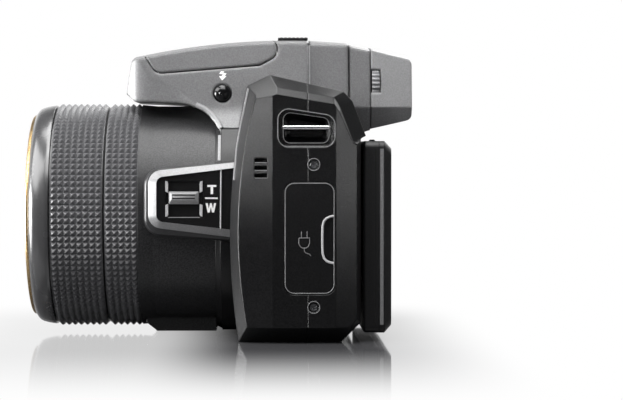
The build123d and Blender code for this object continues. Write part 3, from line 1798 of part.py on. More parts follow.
def finder_display():
    """The small display at the front end of the finder's tunnel."""
    face = outline(
        (-tunnel_half + seat_gap, tunnel_low_z + seat_gap, port_round),
        (tunnel_half - seat_gap, tunnel_low_z + seat_gap, port_round),
        (tunnel_half - seat_gap, tunnel_top_z - seat_gap, port_round),
        (-tunnel_half + seat_gap, tunnel_top_z - seat_gap, port_round),
    )
    return front_plate(face, finder_neck_front_y, finder_neck_front_y + port_round)


def dioptre_wheel():
    centre = (wheel_x(), wheel_y, wheel_z)
    plane = Plane(origin=centre, x_dir=(1, 0, 0), z_dir=(0, 1, 0))
    disc = extrude(plane * fluted(wheel_radius, wheel_ribs, rib_depth), wheel_thick)
    start = finder_neck_back_y - wheel_shaft_length
    return disc + rod((wheel_x(), start, wheel_z), (0, 1, 0), wheel_shaft, wheel_y - start)


# Screen and arm


def screen_face(inset):
    corner = screen_corner
    return outline(
        (screen_right_x + inset, screen_low_z + inset, corner),
        (screen_left_x - inset, screen_low_z + inset, corner),
        (screen_left_x - inset, screen_top_z - inset, corner),
        (screen_right_x + inset, screen_top_z - inset, corner),
    )


def screen_back_cover():
    """The cover on the camera's side of the screen, with the two ears of the upper hinge."""
    split = screen_y + screen_cover
    start = Plane((0, screen_y, 0), x_dir=(1, 0, 0), z_dir=(0, -1, 0)) * screen_face(rim_radius)
    stop = Plane((0, screen_y + rim_radius, 0), x_dir=(1, 0, 0), z_dir=(0, -1, 0)) * screen_face(0)
    tray = loft([start, stop], ruled=True) + front_plate(screen_face(0), screen_y + rim_radius, split)
    tray -= front_plate(screen_face(wall), screen_y + wall, split + overrun)
    bar = Pos(hinge_y, hinge_z) * Circle(ear_radius)
    face = bar + outline(
        (hinge_y, hinge_z - ear_radius),
        (screen_y + rim_radius, hinge_z - ear_radius),
        (screen_y + rim_radius, hinge_z + ear_radius),
        (hinge_y, hinge_z + ear_radius),
    )
    face -= Pos(hinge_y, hinge_z) * Circle(hinge_pin)
    left = side_plate(face, arm_left_x - ear_width, arm_left_x)
    right = side_plate(face, arm_right_x, arm_right_x + ear_width)
    return tray + left + right


def screen_bezel():
    """The frame round the display, bevelled on all four sides."""
    split = screen_y + screen_cover
    front = screen_y + screen_thick
    face = Plane((0, front - screen_bevel, 0), x_dir=(1, 0, 0), z_dir=(0, -1, 0)) * screen_face(0)
    edge = Plane((0, front, 0), x_dir=(1, 0, 0), z_dir=(0, -1, 0)) * screen_face(screen_bevel)
    frame = front_plate(screen_face(0), split, front - screen_bevel) + loft([face, edge], ruled=True)
    frame -= front_plate(screen_face(glass_margin), front - glass_thick, front + overrun)
    return frame - front_plate(screen_face(glass_margin + wall), split - overrun, front)


def screen_glass():
    front = screen_y + screen_thick
    return front_plate(screen_face(glass_margin + seat_gap), front - glass_thick, front)


def screen_panel():
    """The display module behind the glass."""
    front = screen_y + screen_thick - glass_thick
    return front_plate(screen_face(glass_margin + wall + seat_gap), front - lcd_thick, front)


def upper_hinge_pin():
    return rod((arm_right_x, hinge_y, hinge_z), (1, 0, 0), hinge_pin, arm_left_x - arm_right_x)


def lower_hinge_pin():
    start = arm_right_x - lug_width
    return rod((start, hinge_y, arm_pivot_z), (1, 0, 0), hinge_pin, arm_left_x + lug_width - start)


def arm_cover():
    """The moulded arm between the two hinges, round about its lower pin."""
    top = hinge_z - arm_short
    face = outline(
        (hinge_y - arm_inner, arm_pivot_z),
        (hinge_y - arm_inner, top, rim_radius),
        (hinge_y + arm_outer, top, rim_radius),
        (hinge_y + arm_outer, arm_pivot_z),
    ) + Pos(hinge_y, arm_pivot_z) * Circle(arm_root)
    face -= Pos(hinge_y, arm_pivot_z) * Circle(hinge_pin + running_gap)
    solid = side_plate(face, arm_right_x, arm_left_x)
    return solid - leaf_block(running_gap, top)


def leaf_block(gap, top):
    inset = ear_width + ear_gap
    return block(arm_right_x + inset - gap, arm_left_x - inset + gap, hinge_y - leaf_thick / 2 - gap,
                 hinge_y + leaf_thick / 2 + gap, top - arm_short * 2 - gap, top + overrun)


def arm_leaf():
    """The steel leaf let into the arm's end, rolled round the upper pin."""
    inset = ear_width + ear_gap
    top = hinge_z - arm_short
    left = arm_left_x - inset
    right = arm_right_x + inset
    near = hinge_y - leaf_thick / 2
    leaf = block(right, left, near, near + leaf_thick, top - arm_short * 2, hinge_z)
    leaf += rod((right, hinge_y, hinge_z), (1, 0, 0), leaf_radius, left - right)
    middle = (left + right) / 2
    notch = block(middle - (left - right) / 5, middle + (left - right) / 5, hinge_y - arm_inner,
                  hinge_y + arm_inner, top + rim_radius * 2, hinge_z + ear_radius)
    return leaf - notch - rod((right, hinge_y, hinge_z), (1, 0, 0), hinge_pin + running_gap, left - right)


# Every part, by the name of its file


def all_parts():
    front, rear, top, solid = casings()
    rubber = grip_rubber()
    front -= rubber
    parts = {
        "front_casing": front,
        "rear_casing": rear,
        "top_cover": top,
        "grip_rubber": rubber,
        "microphone_grille": grille_plate(running_gap) - hump_solid(),
        "lens_barrel": barrel(),
        "lens_nose_ring": nose_ring(),
        "lens_accent_ring": accent_ring(),
        "knurled_ring_front": knurled_ring(knurl_front_y, knurl_front_rows),
        "knurled_ring_rear": knurled_ring(rear_ring_y, knurl_back_rows),
        "lens_tube_outer": outer_tube(),
        "lens_tube_inner": inner_tube(),
        "lens_front_bezel": front_bezel(),
        "lens_front_glass": bulged_glass(front_glass_radius - seat_gap, glass_front_y(), front_glass_edge,
                                         front_glass_bulge),
        "lens_rear_group": rear_group(),
        "lens_rear_glass": bulged_glass(rear_group_radius - rear_group_wall - seat_gap,
                                        rear_group_front_y + rear_group_wall * 2 + front_glass_bulge,
                                        rear_glass_edge, front_glass_bulge / 2),
        "zoom_switch_frame": pod_frame(),
        "zoom_switch_panel": pod_panel(),
        "zoom_slider": zoom_slider(),
        "strap_pocket": strap_pocket(),
        "strap_bar": rod(strap_bar_start(0), (0, 1, 0), strap_bar, strap_bar_length(0)),
        "port_bay": port_bay(),
        "port_sockets": port_sockets(),
        "port_door": port_door(),
        "case_screws": screws(),
        "tripod_socket": tripod_socket(),
        "battery_door": battery_door(),
        "battery": battery(),
        "memory_card": memory_card(),
        "chassis": chassis(),
        "sensor_module": sensor_module(),
        "circuit_boards": Compound(children=[main_board(), rear_board(), flash_capacitor()]),
        "zoom_motor": zoom_motor(),
        "speaker": speaker(),
        "mode_dial": mode_dial(),
        "shutter_button": shutter_button(),
        "power_lever": power_lever(),
        "control_pad": control_pad(),
        "centre_key": back_key(pad_x, pad_z, ok_radius),
        "command_dial": command_dial(),
        "flash_key": flash_key(),
        "finder_key": finder_key(),
        "thumb_pad": thumb_pad(),
        "flash_lid": lid_shell(),
        "flash_window": flash_window(),
        "flash_lamp": flash_lamp(),
        "steel_pins": Compound(children=[flash_hinge_pin(), command_pin(), lower_hinge_pin()]),
        "finder_cover": finder_cover(solid),
        "finder_neck": finder_neck(solid),
        "eyecup": eyecup(),
        "finder_optics": Compound(children=[eye_lens(), finder_display()]),
        "dioptre_wheel": dioptre_wheel(),
        "screen_back_cover": screen_back_cover(),
        "screen_bezel": screen_bezel(),
        "screen_display": Compound(children=[screen_glass(), screen_panel()]),
        "screen_arm": arm_cover(),
        "screen_arm_leaf": arm_leaf(),
        "screen_hinge_pin": upper_hinge_pin(),
    }
    for name, (x, z, radius) in back_keys.items():
        parts[name] = back_key(x, z, radius)
    return parts


os.makedirs("parts", exist_ok=True)
for name, shape in all_parts().items():
    export_step(shape, f"parts/{name}.step")
    print(name, len(shape.solids()), round(shape.volume, 1))
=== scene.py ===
"""Bridge camera, seen from its own left side: the finishes, small details, studio and viewpoint that dress
the solids. Places on the camera are in millimetres in the solids' own frame, and are turned to metres where a
mesh is made. Places in the studio are in metres.
"""
from math import cos, pi, radians, sin, tan

import bmesh
import bpy
from mathutils import Matrix, Vector
from mathutils.bvhtree import BVHTree


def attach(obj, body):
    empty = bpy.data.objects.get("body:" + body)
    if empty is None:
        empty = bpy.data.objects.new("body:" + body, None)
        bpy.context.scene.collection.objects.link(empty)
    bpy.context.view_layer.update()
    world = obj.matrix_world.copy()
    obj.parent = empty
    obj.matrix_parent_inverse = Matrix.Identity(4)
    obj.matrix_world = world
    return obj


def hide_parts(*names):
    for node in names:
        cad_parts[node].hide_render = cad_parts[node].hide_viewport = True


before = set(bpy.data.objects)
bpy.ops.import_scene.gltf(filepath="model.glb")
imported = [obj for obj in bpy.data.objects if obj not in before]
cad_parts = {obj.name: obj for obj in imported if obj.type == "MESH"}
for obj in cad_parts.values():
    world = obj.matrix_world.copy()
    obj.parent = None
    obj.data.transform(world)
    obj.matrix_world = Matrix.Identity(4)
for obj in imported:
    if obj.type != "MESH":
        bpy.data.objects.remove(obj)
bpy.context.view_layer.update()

MM = 0.001

# Places on the camera, in millimetres
lens_z = 34.6
front_y = -76.4             # front of the nose ring
side_x = 50.5               # flat of the left side
side_seam_y = 4.4
deck_z = 71.0               # deck under the mode dial
outside = 60                # clear of the camera's sides and back

# Colour and node tools


def linear(code):
    """A hex colour as it looks on screen, in linear light."""
    parts = [int(code[start:start + 2], 16) / 255 for start in (1, 3, 5)]
    return (*[c / 12.92 if c <= 0.04045 else ((c + 0.055) / 1.055) ** 2.4 for c in parts], 1.0)


def add(tree, kind, inputs=None, **settings):
    """Adds one node: settings are its own properties, inputs are values or the sockets that feed it."""
    made = tree.nodes.new(kind)
    for name, value in settings.items():
        setattr(made, name, value)
    for name, value in (inputs or {}).items():
        socket = made.inputs[name]
        if isinstance(value, bpy.types.NodeSocket):
            tree.links.new(value, socket)
        else:
            socket.default_value = value
    return made


def blank(name):
    """A new material with only its output, and its tree."""
    material = bpy.data.materials.new(name)
    material.use_nodes = True
    tree = material.node_tree
    tree.nodes.clear()
    return material, tree, add(tree, "ShaderNodeOutputMaterial")


def grain(tree, size, detail=2.0, rough=0.6):
    """Fine irregular grain; size is the width of one grain in millimetres."""
    place = add(tree, "ShaderNodeTexCoord").outputs["Object"]
    return add(tree, "ShaderNodeTexNoise", {"Vector": place, "Scale": 1 / (size * MM), "Detail": detail,
                                            "Roughness": rough}).outputs["Fac"]


def two_tones(tree, factor, low, high, start=0.35, stop=0.65):
    """Blends two tones of one colour over a pattern."""
    ramp = add(tree, "ShaderNodeValToRGB", {"Fac": factor})
    ramp.color_ramp.elements[0].position = start
    ramp.color_ramp.elements[0].color = linear(low)
    ramp.color_ramp.elements[1].position = stop
    ramp.color_ramp.elements[1].color = linear(high)
    return ramp.outputs["Color"]


def between(tree, factor, low, high):
    """Spreads a pattern between two numbers."""
    return add(tree, "ShaderNodeMapRange", {"Value": factor, "To Min": low, "To Max": high}).outputs["Result"]


# Finishes


def moulded(name, low, high, rough, grain_size, depth, edge, gloss=0.5):
    """Moulded ABS from a spark-eroded tool: a fine even grain that breaks the highlights, satin, and a small
    radius on every edge that catches the light; gloss is how strongly it mirrors at a steep angle."""
    material, tree, out = blank(name)
    fine = grain(tree, grain_size)
    patch = grain(tree, grain_size * 40, 3.0)
    rounded_edge = add(tree, "ShaderNodeBevel", {"Radius": edge * MM}, samples=6).outputs["Normal"]
    bumped = add(tree, "ShaderNodeBump", {"Height": fine, "Strength": 0.55, "Distance": depth * MM,
                                          "Normal": rounded_edge}).outputs["Normal"]
    shader = add(tree, "ShaderNodeBsdfPrincipled", {
        "Base Color": two_tones(tree, fine, low, high),
        "Roughness": between(tree, patch, rough - 0.05, rough + 0.05),
        "IOR": 1.54, "Specular IOR Level": gloss, "Normal": bumped})
    tree.links.new(shader.outputs[0], out.inputs["Surface"])
    return material


def elastomer(name, low, high, rough, grain_size, depth, edge):
    """Thermoplastic rubber: matt, with a soft sheen at grazing light and a fine skin."""
    material, tree, out = blank(name)
    fine = grain(tree, grain_size)
    rounded_edge = add(tree, "ShaderNodeBevel", {"Radius": edge * MM}, samples=6).outputs["Normal"]
    bumped = add(tree, "ShaderNodeBump", {"Height": fine, "Strength": 0.4, "Distance": depth * MM,
                                          "Normal": rounded_edge}).outputs["Normal"]
    shader = add(tree, "ShaderNodeBsdfPrincipled", {
        "Base Color": two_tones(tree, fine, low, high),
        "Roughness": between(tree, grain(tree, grain_size * 25), rough - 0.04, rough + 0.06),
        "IOR": 1.5, "Sheen Weight": 0.08, "Sheen Roughness": 0.4, "Normal": bumped})
    tree.links.new(shader.outputs[0], out.inputs["Surface"])
    return material


def pebbled_rubber():
    """Grip rubber from an etched tool: small flat pebbles about 1.1 mm across with narrow valleys."""
    material, tree, out = blank("grip_rubber_pebbled")
    place = add(tree, "ShaderNodeTexCoord").outputs["Object"]
    pebbles = add(tree, "ShaderNodeTexVoronoi", {"Vector": place, "Scale": 1 / (1.1 * MM), "Randomness": 0.8},
                  feature="DISTANCE_TO_EDGE").outputs["Distance"]
    tops = add(tree, "ShaderNodeMapRange", {"Value": pebbles, "From Min": 0.02, "From Max": 0.22},
               interpolation_type="SMOOTHSTEP").outputs["Result"]
    bumped = add(tree, "ShaderNodeBump", {"Height": tops, "Strength": 0.7,
                                          "Distance": 0.12 * MM}).outputs["Normal"]
    shader = add(tree, "ShaderNodeBsdfPrincipled", {
        "Base Color": two_tones(tree, tops, "#19191a", "#2b2b2c", 0.0, 1.0),
        "Roughness": between(tree, grain(tree, 0.5), 0.58, 0.72),
        "IOR": 1.5, "Sheen Weight": 0.1, "Sheen Roughness": 0.4, "Normal": bumped})
    tree.links.new(shader.outputs[0], out.inputs["Surface"])
    return material


def metal(name, low, high, rough, grain_size, stretch=(1, 1, 1)):
    """Machined or plated metal: a colour of its own in the reflections, with fine tool marks."""
    material, tree, out = blank(name)
    place = add(tree, "ShaderNodeTexCoord").outputs["Object"]
    drawn = add(tree, "ShaderNodeMapping", {"Vector": place, "Scale": stretch}).outputs["Vector"]
    marks = add(tree, "ShaderNodeTexNoise", {"Vector": drawn, "Scale": 1 / (grain_size * MM),
                                             "Detail": 3.0}).outputs["Fac"]
    rounded_edge = add(tree, "ShaderNodeBevel", {"Radius": 0.12 * MM}, samples=6).outputs["Normal"]
    bumped = add(tree, "ShaderNodeBump", {"Height": marks, "Strength": 0.15, "Distance": 0.02 * MM,
                                          "Normal": rounded_edge}).outputs["Normal"]
    shader = add(tree, "ShaderNodeBsdfPrincipled", {
        "Base Color": two_tones(tree, marks, low, high), "Metallic": 1.0,
        "Roughness": between(tree, marks, rough * 0.8, rough * 1.2), "Normal": bumped})
    tree.links.new(shader.outputs[0], out.inputs["Surface"])
    return material


def lacquer(name, colour, rough, coat=0.0):
    """Gloss lacquer over a turned or moulded part, with a trace of orange peel; a coat adds a softer shine."""
    material, tree, out = blank(name)
    peel = grain(tree, 1.6, 1.0)
    rounded_edge = add(tree, "ShaderNodeBevel", {"Radius": 0.2 * MM}, samples=6).outputs["Normal"]
    bumped = add(tree, "ShaderNodeBump", {"Height": peel, "Strength": 0.1, "Distance": 0.02 * MM,
                                          "Normal": rounded_edge}).outputs["Normal"]
    shader = add(tree, "ShaderNodeBsdfPrincipled", {
        "Base Color": linear(colour), "Roughness": between(tree, grain(tree, 6.0), rough * 0.8, rough * 1.2),
        "IOR": 1.5, "Coat Weight": coat, "Coat Roughness": 0.24, "Normal": bumped})
    tree.links.new(shader.outputs[0], out.inputs["Surface"])
    return material


def printed_ink():
    """Pad-printed white ink: opaque, slightly rough, a touch uneven."""
    material, tree, out = blank("white_printed_ink")
    shader = add(tree, "ShaderNodeBsdfPrincipled", {
        "Base Color": two_tones(tree, grain(tree, 0.3), "#dcdcdb", "#f2f2f0"), "Roughness": 0.5, "IOR": 1.5})
    tree.links.new(shader.outputs[0], out.inputs["Surface"])
    return material


def coated_glass():
    """Multicoated optical glass: dark inside the barrel, with a faint violet reflection under a green one."""
    material, tree, out = blank("coated_lens_glass")
    shader = add(tree, "ShaderNodeBsdfPrincipled", {
        "Base Color": two_tones(tree, grain(tree, 9.0, 1.0), "#0c0a14", "#0e1c18"), "Roughness": 0.03,
        "IOR": 1.6, "Specular Tint": linear("#b48ce0"), "Coat Weight": 0.6, "Coat Roughness": 0.02,
        "Coat Tint": linear("#bfe8cf")})
    tree.links.new(shader.outputs[0], out.inputs["Surface"])
    return material


def display_glass():
    """Hard-coated acrylic over a dark display: glossy and almost black."""
    material, tree, out = blank("display_hard_coated_acrylic")
    place = add(tree, "ShaderNodeTexCoord").outputs["Object"]
    faint = add(tree, "ShaderNodeTexNoise", {"Vector": place, "Scale": 1 / (18 * MM)}).outputs["Fac"]
    shader = add(tree, "ShaderNodeBsdfPrincipled", {
        "Base Color": two_tones(tree, faint, "#0b0c0e", "#101216"), "Roughness": 0.06, "IOR": 1.49})
    tree.links.new(shader.outputs[0], out.inputs["Surface"])
    return material


def ribbed_window():
    """Clear moulded acrylic with fine upright ribs, which scatter the lamp's light."""
    material, tree, out = blank("flash_window_ribbed_acrylic")
    place = add(tree, "ShaderNodeTexCoord").outputs["Object"]
    ribs = add(tree, "ShaderNodeTexWave", {"Vector": place, "Scale": 1 / (9 * MM)},
               bands_direction="X").outputs["Fac"]
    bumped = add(tree, "ShaderNodeBump", {"Height": ribs, "Strength": 0.6,
                                          "Distance": 0.2 * MM}).outputs["Normal"]
    shader = add(tree, "ShaderNodeBsdfPrincipled", {
        "Base Color": two_tones(tree, ribs, "#c9cac6", "#ecece6"), "Roughness": 0.12, "IOR": 1.49,
        "Transmission Weight": 0.6, "Normal": bumped})
    tree.links.new(shader.outputs[0], out.inputs["Surface"])
    return material


def laminate():
    """Glass-fibre circuit laminate under green solder mask, with the weave just showing."""
    material, tree, out = blank("circuit_laminate")
    place = add(tree, "ShaderNodeTexCoord").outputs["Object"]
    weave = add(tree, "ShaderNodeTexChecker", {"Vector": place, "Scale": 1 / (0.8 * MM),
                                               "Color1": linear("#123d22"),
                                               "Color2": linear("#0e341c")}).outputs["Color"]
    shader = add(tree, "ShaderNodeBsdfPrincipled", {"Base Color": weave, "Roughness": 0.35, "IOR": 1.5})
    tree.links.new(shader.outputs[0], out.inputs["Surface"])
    return material


def threaded_brass():
    """Turned brass with a cut thread, 1.27 mm between its crests."""
    material, tree, out = blank("threaded_brass")
    place = add(tree, "ShaderNodeTexCoord").outputs["Object"]
    thread = add(tree, "ShaderNodeTexWave", {"Vector": place, "Scale": 1 / (1.27 * MM) / 20 * pi,
                                             "Distortion": 0.0}, bands_direction="Z").outputs["Fac"]
    bumped = add(tree, "ShaderNodeBump", {"Height": thread, "Strength": 0.8,
                                          "Distance": 0.3 * MM}).outputs["Normal"]
    shader = add(tree, "ShaderNodeBsdfPrincipled", {
        "Base Color": two_tones(tree, thread, "#8d7440", "#c6a765"), "Metallic": 1.0, "Roughness": 0.32,
        "Normal": bumped})
    tree.links.new(shader.outputs[0], out.inputs["Surface"])
    return material


# The real moulds' grain of about 0.15 mm is too fine to show here, and is drawn two or three times as coarse.
casing_abs = moulded("casing_abs_spark_eroded", "#070708", "#161617", 0.3, 0.42, 0.05, 0.5, 0.3)
cover_abs = moulded("hump_abs_satin_grey", "#5b5b5c", "#6d6d6e", 0.34, 0.4, 0.035, 1.3)
barrel_abs = moulded("barrel_abs_fine_sparkle", "#1a1a1b", "#353536", 0.36, 0.4, 0.05, 0.3, 0.3)
pod_abs = moulded("pod_abs_satin", "#262627", "#303031", 0.34, 0.35, 0.02, 0.35)
panel_abs = moulded("pod_panel_abs_matt_black", "#050506", "#0b0b0c", 0.5, 0.35, 0.03, 0.15, 0.2)
door_abs = moulded("door_abs_matt", "#080809", "#151516", 0.34, 0.42, 0.05, 0.3, 0.3)
screen_abs = moulded("screen_abs_charcoal", "#101011", "#1e1e1f", 0.38, 0.42, 0.04, 0.45, 0.3)
arm_abs = moulded("arm_abs_charcoal", "#242426", "#343437", 0.48, 0.42, 0.04, 0.3)
knurl_rubber = elastomer("knurl_elastomer", "#48484a", "#5a5a5c", 0.27, 0.3, 0.006, 0.08)
soft_rubber = elastomer("soft_elastomer", "#151516", "#212122", 0.62, 0.4, 0.03, 0.4)
grip_skin = pebbled_rubber()
nose_lacquer = lacquer("nose_ring_black_lacquer", "#3a3a3b", 0.26, 1.0)
key_lacquer = lacquer("key_black_lacquer", "#0c0c0d", 0.16)
pocket_gloss = lacquer("strap_pocket_gloss_abs", "#080809", 0.22)
gold = metal("gold_anodised_aluminium", "#ae8a54", "#d6c096", 0.3, 0.4)
plated_steel = metal("plated_steel_polished", "#cfcfd0", "#f2f2f2", 0.2, 0.5, (1, 0.1, 1))
screw_steel = metal("screw_steel_black_nickel", "#77787a", "#9a9b9d", 0.3, 0.25)
sheet_steel = metal("pressed_steel_sheet", "#8a8b8d", "#a9aaac", 0.38, 0.6, (1, 1, 0.1))
reflector = metal("metallised_reflector", "#d9d9d9", "#f4f4f4", 0.12, 0.8)
brass = threaded_brass()
white_ink = printed_ink()
lens_glass = coated_glass()
screen_acrylic = display_glass()
window_acrylic = ribbed_window()
board_laminate = laminate()
# A light grey for thin beads, rims and inlays on the dark plastic: painted highlight along edges and seams.
edge_highlight_abs = moulded("painted_edge_highlight_grey", "#6a6a6b", "#7c7c7d", 0.4, 0.4, 0.01, 0.1)
# A light grey: the switch's bevel and key, and painted highlight on the lips round the barrel's opening.
light_bevel = moulded("switch_bevel_light_grey_abs", "#7a7a7b", "#888889", 0.3, 0.4, 0.012, 0.12)
# A lighter grey: the colour of the window guards, and painted highlight on the panel's edge bead, the door
# notch's rim and the hump's seam.
light_grey_and_highlight_abs = moulded("light_grey_abs_and_painted_highlight", "#a4a4a5", "#b8b8b9", 0.35, 0.4, 0.01, 0.15)
rib_abs = moulded("dioptre_wheel_light_grey_abs", "#6e6e70", "#858587", 0.42, 0.4, 0.01, 0.12)
eyecup_abs = moulded("eyecup_elastomer_charcoal", "#747475", "#848485", 0.4, 0.4, 0.04, 0.8)
dial_metal = metal("mode_dial_black_anodised", "#3a3a3c", "#4a4a4c", 0.34, 0.4)
bright_key = metal("shutter_button_black_chrome", "#55565a", "#6a6b6f", 0.22, 0.5)
battery_sleeve = lacquer("battery_shrink_sleeve", "#1b1c20", 0.4)
groove_shadow = elastomer("groove_shadow_black", "#040404", "#080808", 0.8, 0.4, 0.01, 0.1)


# Mesh tools


def rounded(*corners, steps=6):
    """A closed loop through flat corners given as (across, up, radius), with as many points at each."""
    loop = []
    count = len(corners)
    for index, (across, up, radius) in enumerate(corners):
        here = Vector((across, up))
        before = (Vector(corners[index - 1][:2]) - here).normalized()
        after = (Vector(corners[(index + 1) % count][:2]) - here).normalized()
        half = before.angle(after) / 2
        middle = here + (before + after).normalized() * (radius / sin(half))
        start = here + before * (radius / tan(half)) - middle
        stop = here + after * (radius / tan(half)) - middle
        for step in range(steps + 1):
            share = step / steps
            spoke = start.lerp(stop, share)
            if spoke.length:
                spoke = spoke.normalized() * radius
            loop.append(middle + spoke)
    return loop


def at_side(x, loop):
    """A flat loop drawn in Y and Z, set at a place along X."""
    return [(x, across, up) for across, up in loop]


def dress(name, points, faces, material, body, slot, instead_of=(), sharp=30):
    """A finished piece from its points and faces, smooth but for edges sharper than an angle in degrees."""
    mesh = bpy.data.meshes.new(name)
    mesh.from_pydata([tuple(c * MM for c in point) for point in points], [], faces)
    mesh.validate()
    shape = bmesh.new()
    shape.from_mesh(mesh)
    bmesh.ops.remove_doubles(shape, verts=shape.verts, dist=0.0005 * MM)
    bmesh.ops.recalc_face_normals(shape, faces=shape.faces)
    shape.to_mesh(mesh)
    shape.free()
    mesh.materials.append(material)
    mesh.shade_smooth()
    mesh.set_sharp_from_angle(angle=radians(sharp))
    made = bpy.data.objects.new(name, mesh)
    bpy.context.scene.collection.objects.link(made)
    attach(made, body)
    if instead_of:
        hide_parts(*instead_of)
    return made


def skin(loops, first=True, last=True):
    """Points and faces of a skin over loops of equal length, closed over its first and last loop if asked."""
    count = len(loops[0])
    points = [point for loop in loops for point in loop]
    faces = []
    for row in range(len(loops) - 1):
        for n in range(count):
            here, beyond = row * count + n, row * count + (n + 1) % count
            faces.append((here, beyond, beyond + count, here + count))
    if first:
        faces.append(tuple(range(count))[::-1])
    if last:
        faces.append(tuple(range(len(points) - count, len(points))))
    return points, faces


def looped(loops):
    """Points and faces of a skin that runs on from its last loop into its first."""
    points, faces = skin(loops + loops[:1], False, False)
    points = points[:-len(loops[0])]
    return points, [tuple(n % len(points) for n in face) for face in faces]


def lathe(profile, centre, axis, steps=96):
    """Points and faces turned about an axis; the closed profile gives place along the axis and radius."""
    turn = Vector(axis).to_track_quat("Z", "Y")
    loops = []
    for along, radius in profile:
        loops.append([Vector(centre) + turn @ Vector((radius * cos(a), radius * sin(a), along))
                      for a in (2 * pi * n / steps for n in range(steps))])
    return looped(loops)


def joined(*shapes):
    """Several shapes as one list of points and faces."""
    points, faces = [], []
    for more, sides in shapes:
        faces += [tuple(n + len(points) for n in side) for side in sides]
        points += list(more)
    return points, faces


def box(low, high):
    """A square block between two corners."""
    (a, b, c), (d, e, f) = low, high
    return skin([[(x, b, c), (x, e, c), (x, e, f), (x, b, f)] for x in (a, d)])


def bead(path, radius, steps=8, closed=False):
    """A round bead along a path of points on a surface that faces left."""
    path = [Vector(point) for point in path]
    path = [point for n, point in enumerate(path) if not n or (point - path[n - 1]).length > 0.001]
    out = Vector((1, 0, 0))
    loops = []
    for n, here in enumerate(path):
        before = path[n - 1] if n or closed else here
        after = path[(n + 1) % len(path)] if n + 1 < len(path) or closed else here
        across = (after - before).cross(out).normalized()
        loops.append([here + out * radius * cos(a) + across * radius * sin(a)
                      for a in (2 * pi * k / steps for k in range(steps))])
    return looped(loops) if closed else skin(loops)


def laid_on(node, points, toward, proud):
    """Moves points along a direction onto a solid's surface and a little proud of it; below zero, into it."""
    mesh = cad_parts[node].data
    tree = BVHTree.FromPolygons([v.co for v in mesh.vertices], [p.vertices for p in mesh.polygons])
    toward = Vector(toward)
    landed = []
    for point in points:
        start = Vector(point) - toward * outside
        hit = tree.ray_cast(start * MM, toward)[0]
        landed.append(Vector(hit) / MM - toward * proud if hit else Vector(point))
    return landed


def laid_bead(name, node, path, proud, radius, material, slot, steps=8):
    """A bead on a solid's left side, along a path drawn in Y and Z."""
    points = laid_on(node, at_side(outside, path), (-1, 0, 0), proud)
    return dress(name, *bead(points, radius, steps), material, "camera_body", slot)


def mark(name, outlines, node, body, slot="casing_plastic", toward=(-1, 0, 0), proud=0.04):
    """A thin printed mark, drawn as flat outlines and laid on a solid's surface."""
    shapes = []
    for loop in outlines:
        top = laid_on(node, loop, toward, proud)
        shapes.append(skin([[point + Vector(toward) * proud * 3 for point in top], top]))
    return dress(name, *joined(*shapes), white_ink, body, slot)


# Lens


def knurled_ring(name, start, rows, count, node):
    """Rubber ring covered in square pyramids, one row for each crest of the solid it stands for."""
    pitch, land, depth = 1.82, 0.22, 0.8
    seat, tip = 30.9, 33.1
    root = tip - depth
    flat = 0.08             # half of each pyramid's blunt tip
    stop = start + rows * pitch + 2 * land

    def ring(y, radius):
        return [(radius * cos(a), y, lens_z + radius * sin(a))
                for a in (2 * pi * n / count for n in range(count))]

    places = [start + land + row * pitch for row in range(rows + 1)]
    points = []
    for y, radius in [(start, seat), (start, root - 0.1), (start + 0.1, root)]:
        points += ring(y, radius)
    for y in places:
        points += ring(y, root)
    for y, radius in [(stop - 0.1, root), (stop, root - 0.1), (stop, seat)]:
        points += ring(y, radius)
    total = len(points) // count
    faces = []
    for row in range(total):
        if 3 <= row < 3 + rows:     # the pyramids take the place of these bands
            continue
        for n in range(count):
            here, beyond = row * count + n, row * count + (n + 1) % count
            above = (row + 1) % total * count
            faces.append((here, above + n, above + (n + 1) % count, beyond))
    for row in range(rows):
        near, far = places[row], places[row] + pitch
        middle = (near + far) / 2
        for n in range(count):
            first = len(points)
            low, high = 2 * pi * (n + 0.5 - flat / 2) / count, 2 * pi * (n + 0.5 + flat / 2) / count
            for y, a in ((-flat, low), (flat, low), (flat, high), (-flat, high)):
                points.append((tip * cos(a), middle + y, lens_z + tip * sin(a)))
            base = (3 + row) * count
            after = (n + 1) % count
            corners = (base + n, base + count + n, base + count + after, base + after)
            for side in range(4):
                faces.append((corners[side], corners[(side + 1) % 4], first + (side + 1) % 4, first + side))
            faces.append((first, first + 1, first + 2, first + 3))
    return dress(name, points, faces, knurl_rubber, "camera_body", "knurl_rubber", (node,), 12)


knurled_ring("front_ring_pyramids", front_y + 7.3, 8, 114, "knurled_ring_front")
knurled_ring("rear_ring_pyramids", front_y + 22.9, 5, 114, "knurled_ring_rear")
dress("nose_ring_turned", *lathe([
    (0.9, 29.2), (0.82, 29.75), (1.1, 30.35), (1.6, 31.1), (2.1, 31.6), (2.9, 32.0), (4.2, 32.35),
    (5.6, 32.6), (6.6, 32.7), (6.85, 32.62), (6.94, 32.35), (6.96, 31.2), (7.3, 31.2), (7.3, 29.2)],
    (0, front_y, lens_z), (0, 1, 0), 192), nose_lacquer, "camera_body", "gloss_black", ("lens_nose_ring",))
# A near-black ring in the gap between the knurled rings: painted shade.
dress("knurl_gap_ring", *lathe([(0, 30.8), (0, 31.4), (0.56, 31.4), (0.56, 30.8)],
                               (0, front_y + 22.32, lens_z), (0, 1, 0), 192),
      groove_shadow, "camera_body", "knurl_rubber")
dress("accent_ring_anodised", *lathe([
    (0.04, 29.2), (0, 29.3), (0.05, 29.5), (0.3, 29.74), (0.8, 29.84), (0.88, 29.76), (0.88, 29.2)],
    (0, front_y, lens_z), (0, 1, 0), 192), gold, "camera_body", "gold_metal", ("lens_accent_ring",))

# Zoom switch

pod_x = 37.6                # the switch panel's outer face


def pod_loop(x, grow, corner):
    """The pod's outline at a place along X, grown or drawn in."""
    return at_side(x, rounded((-42.1 - grow, 48.5 + grow, corner), (-42.1 - grow, 29.7 - grow, corner),
                              (-16.2, 27.8 - grow, 0.01), (-16.2, 50.4 + grow, 0.01)))


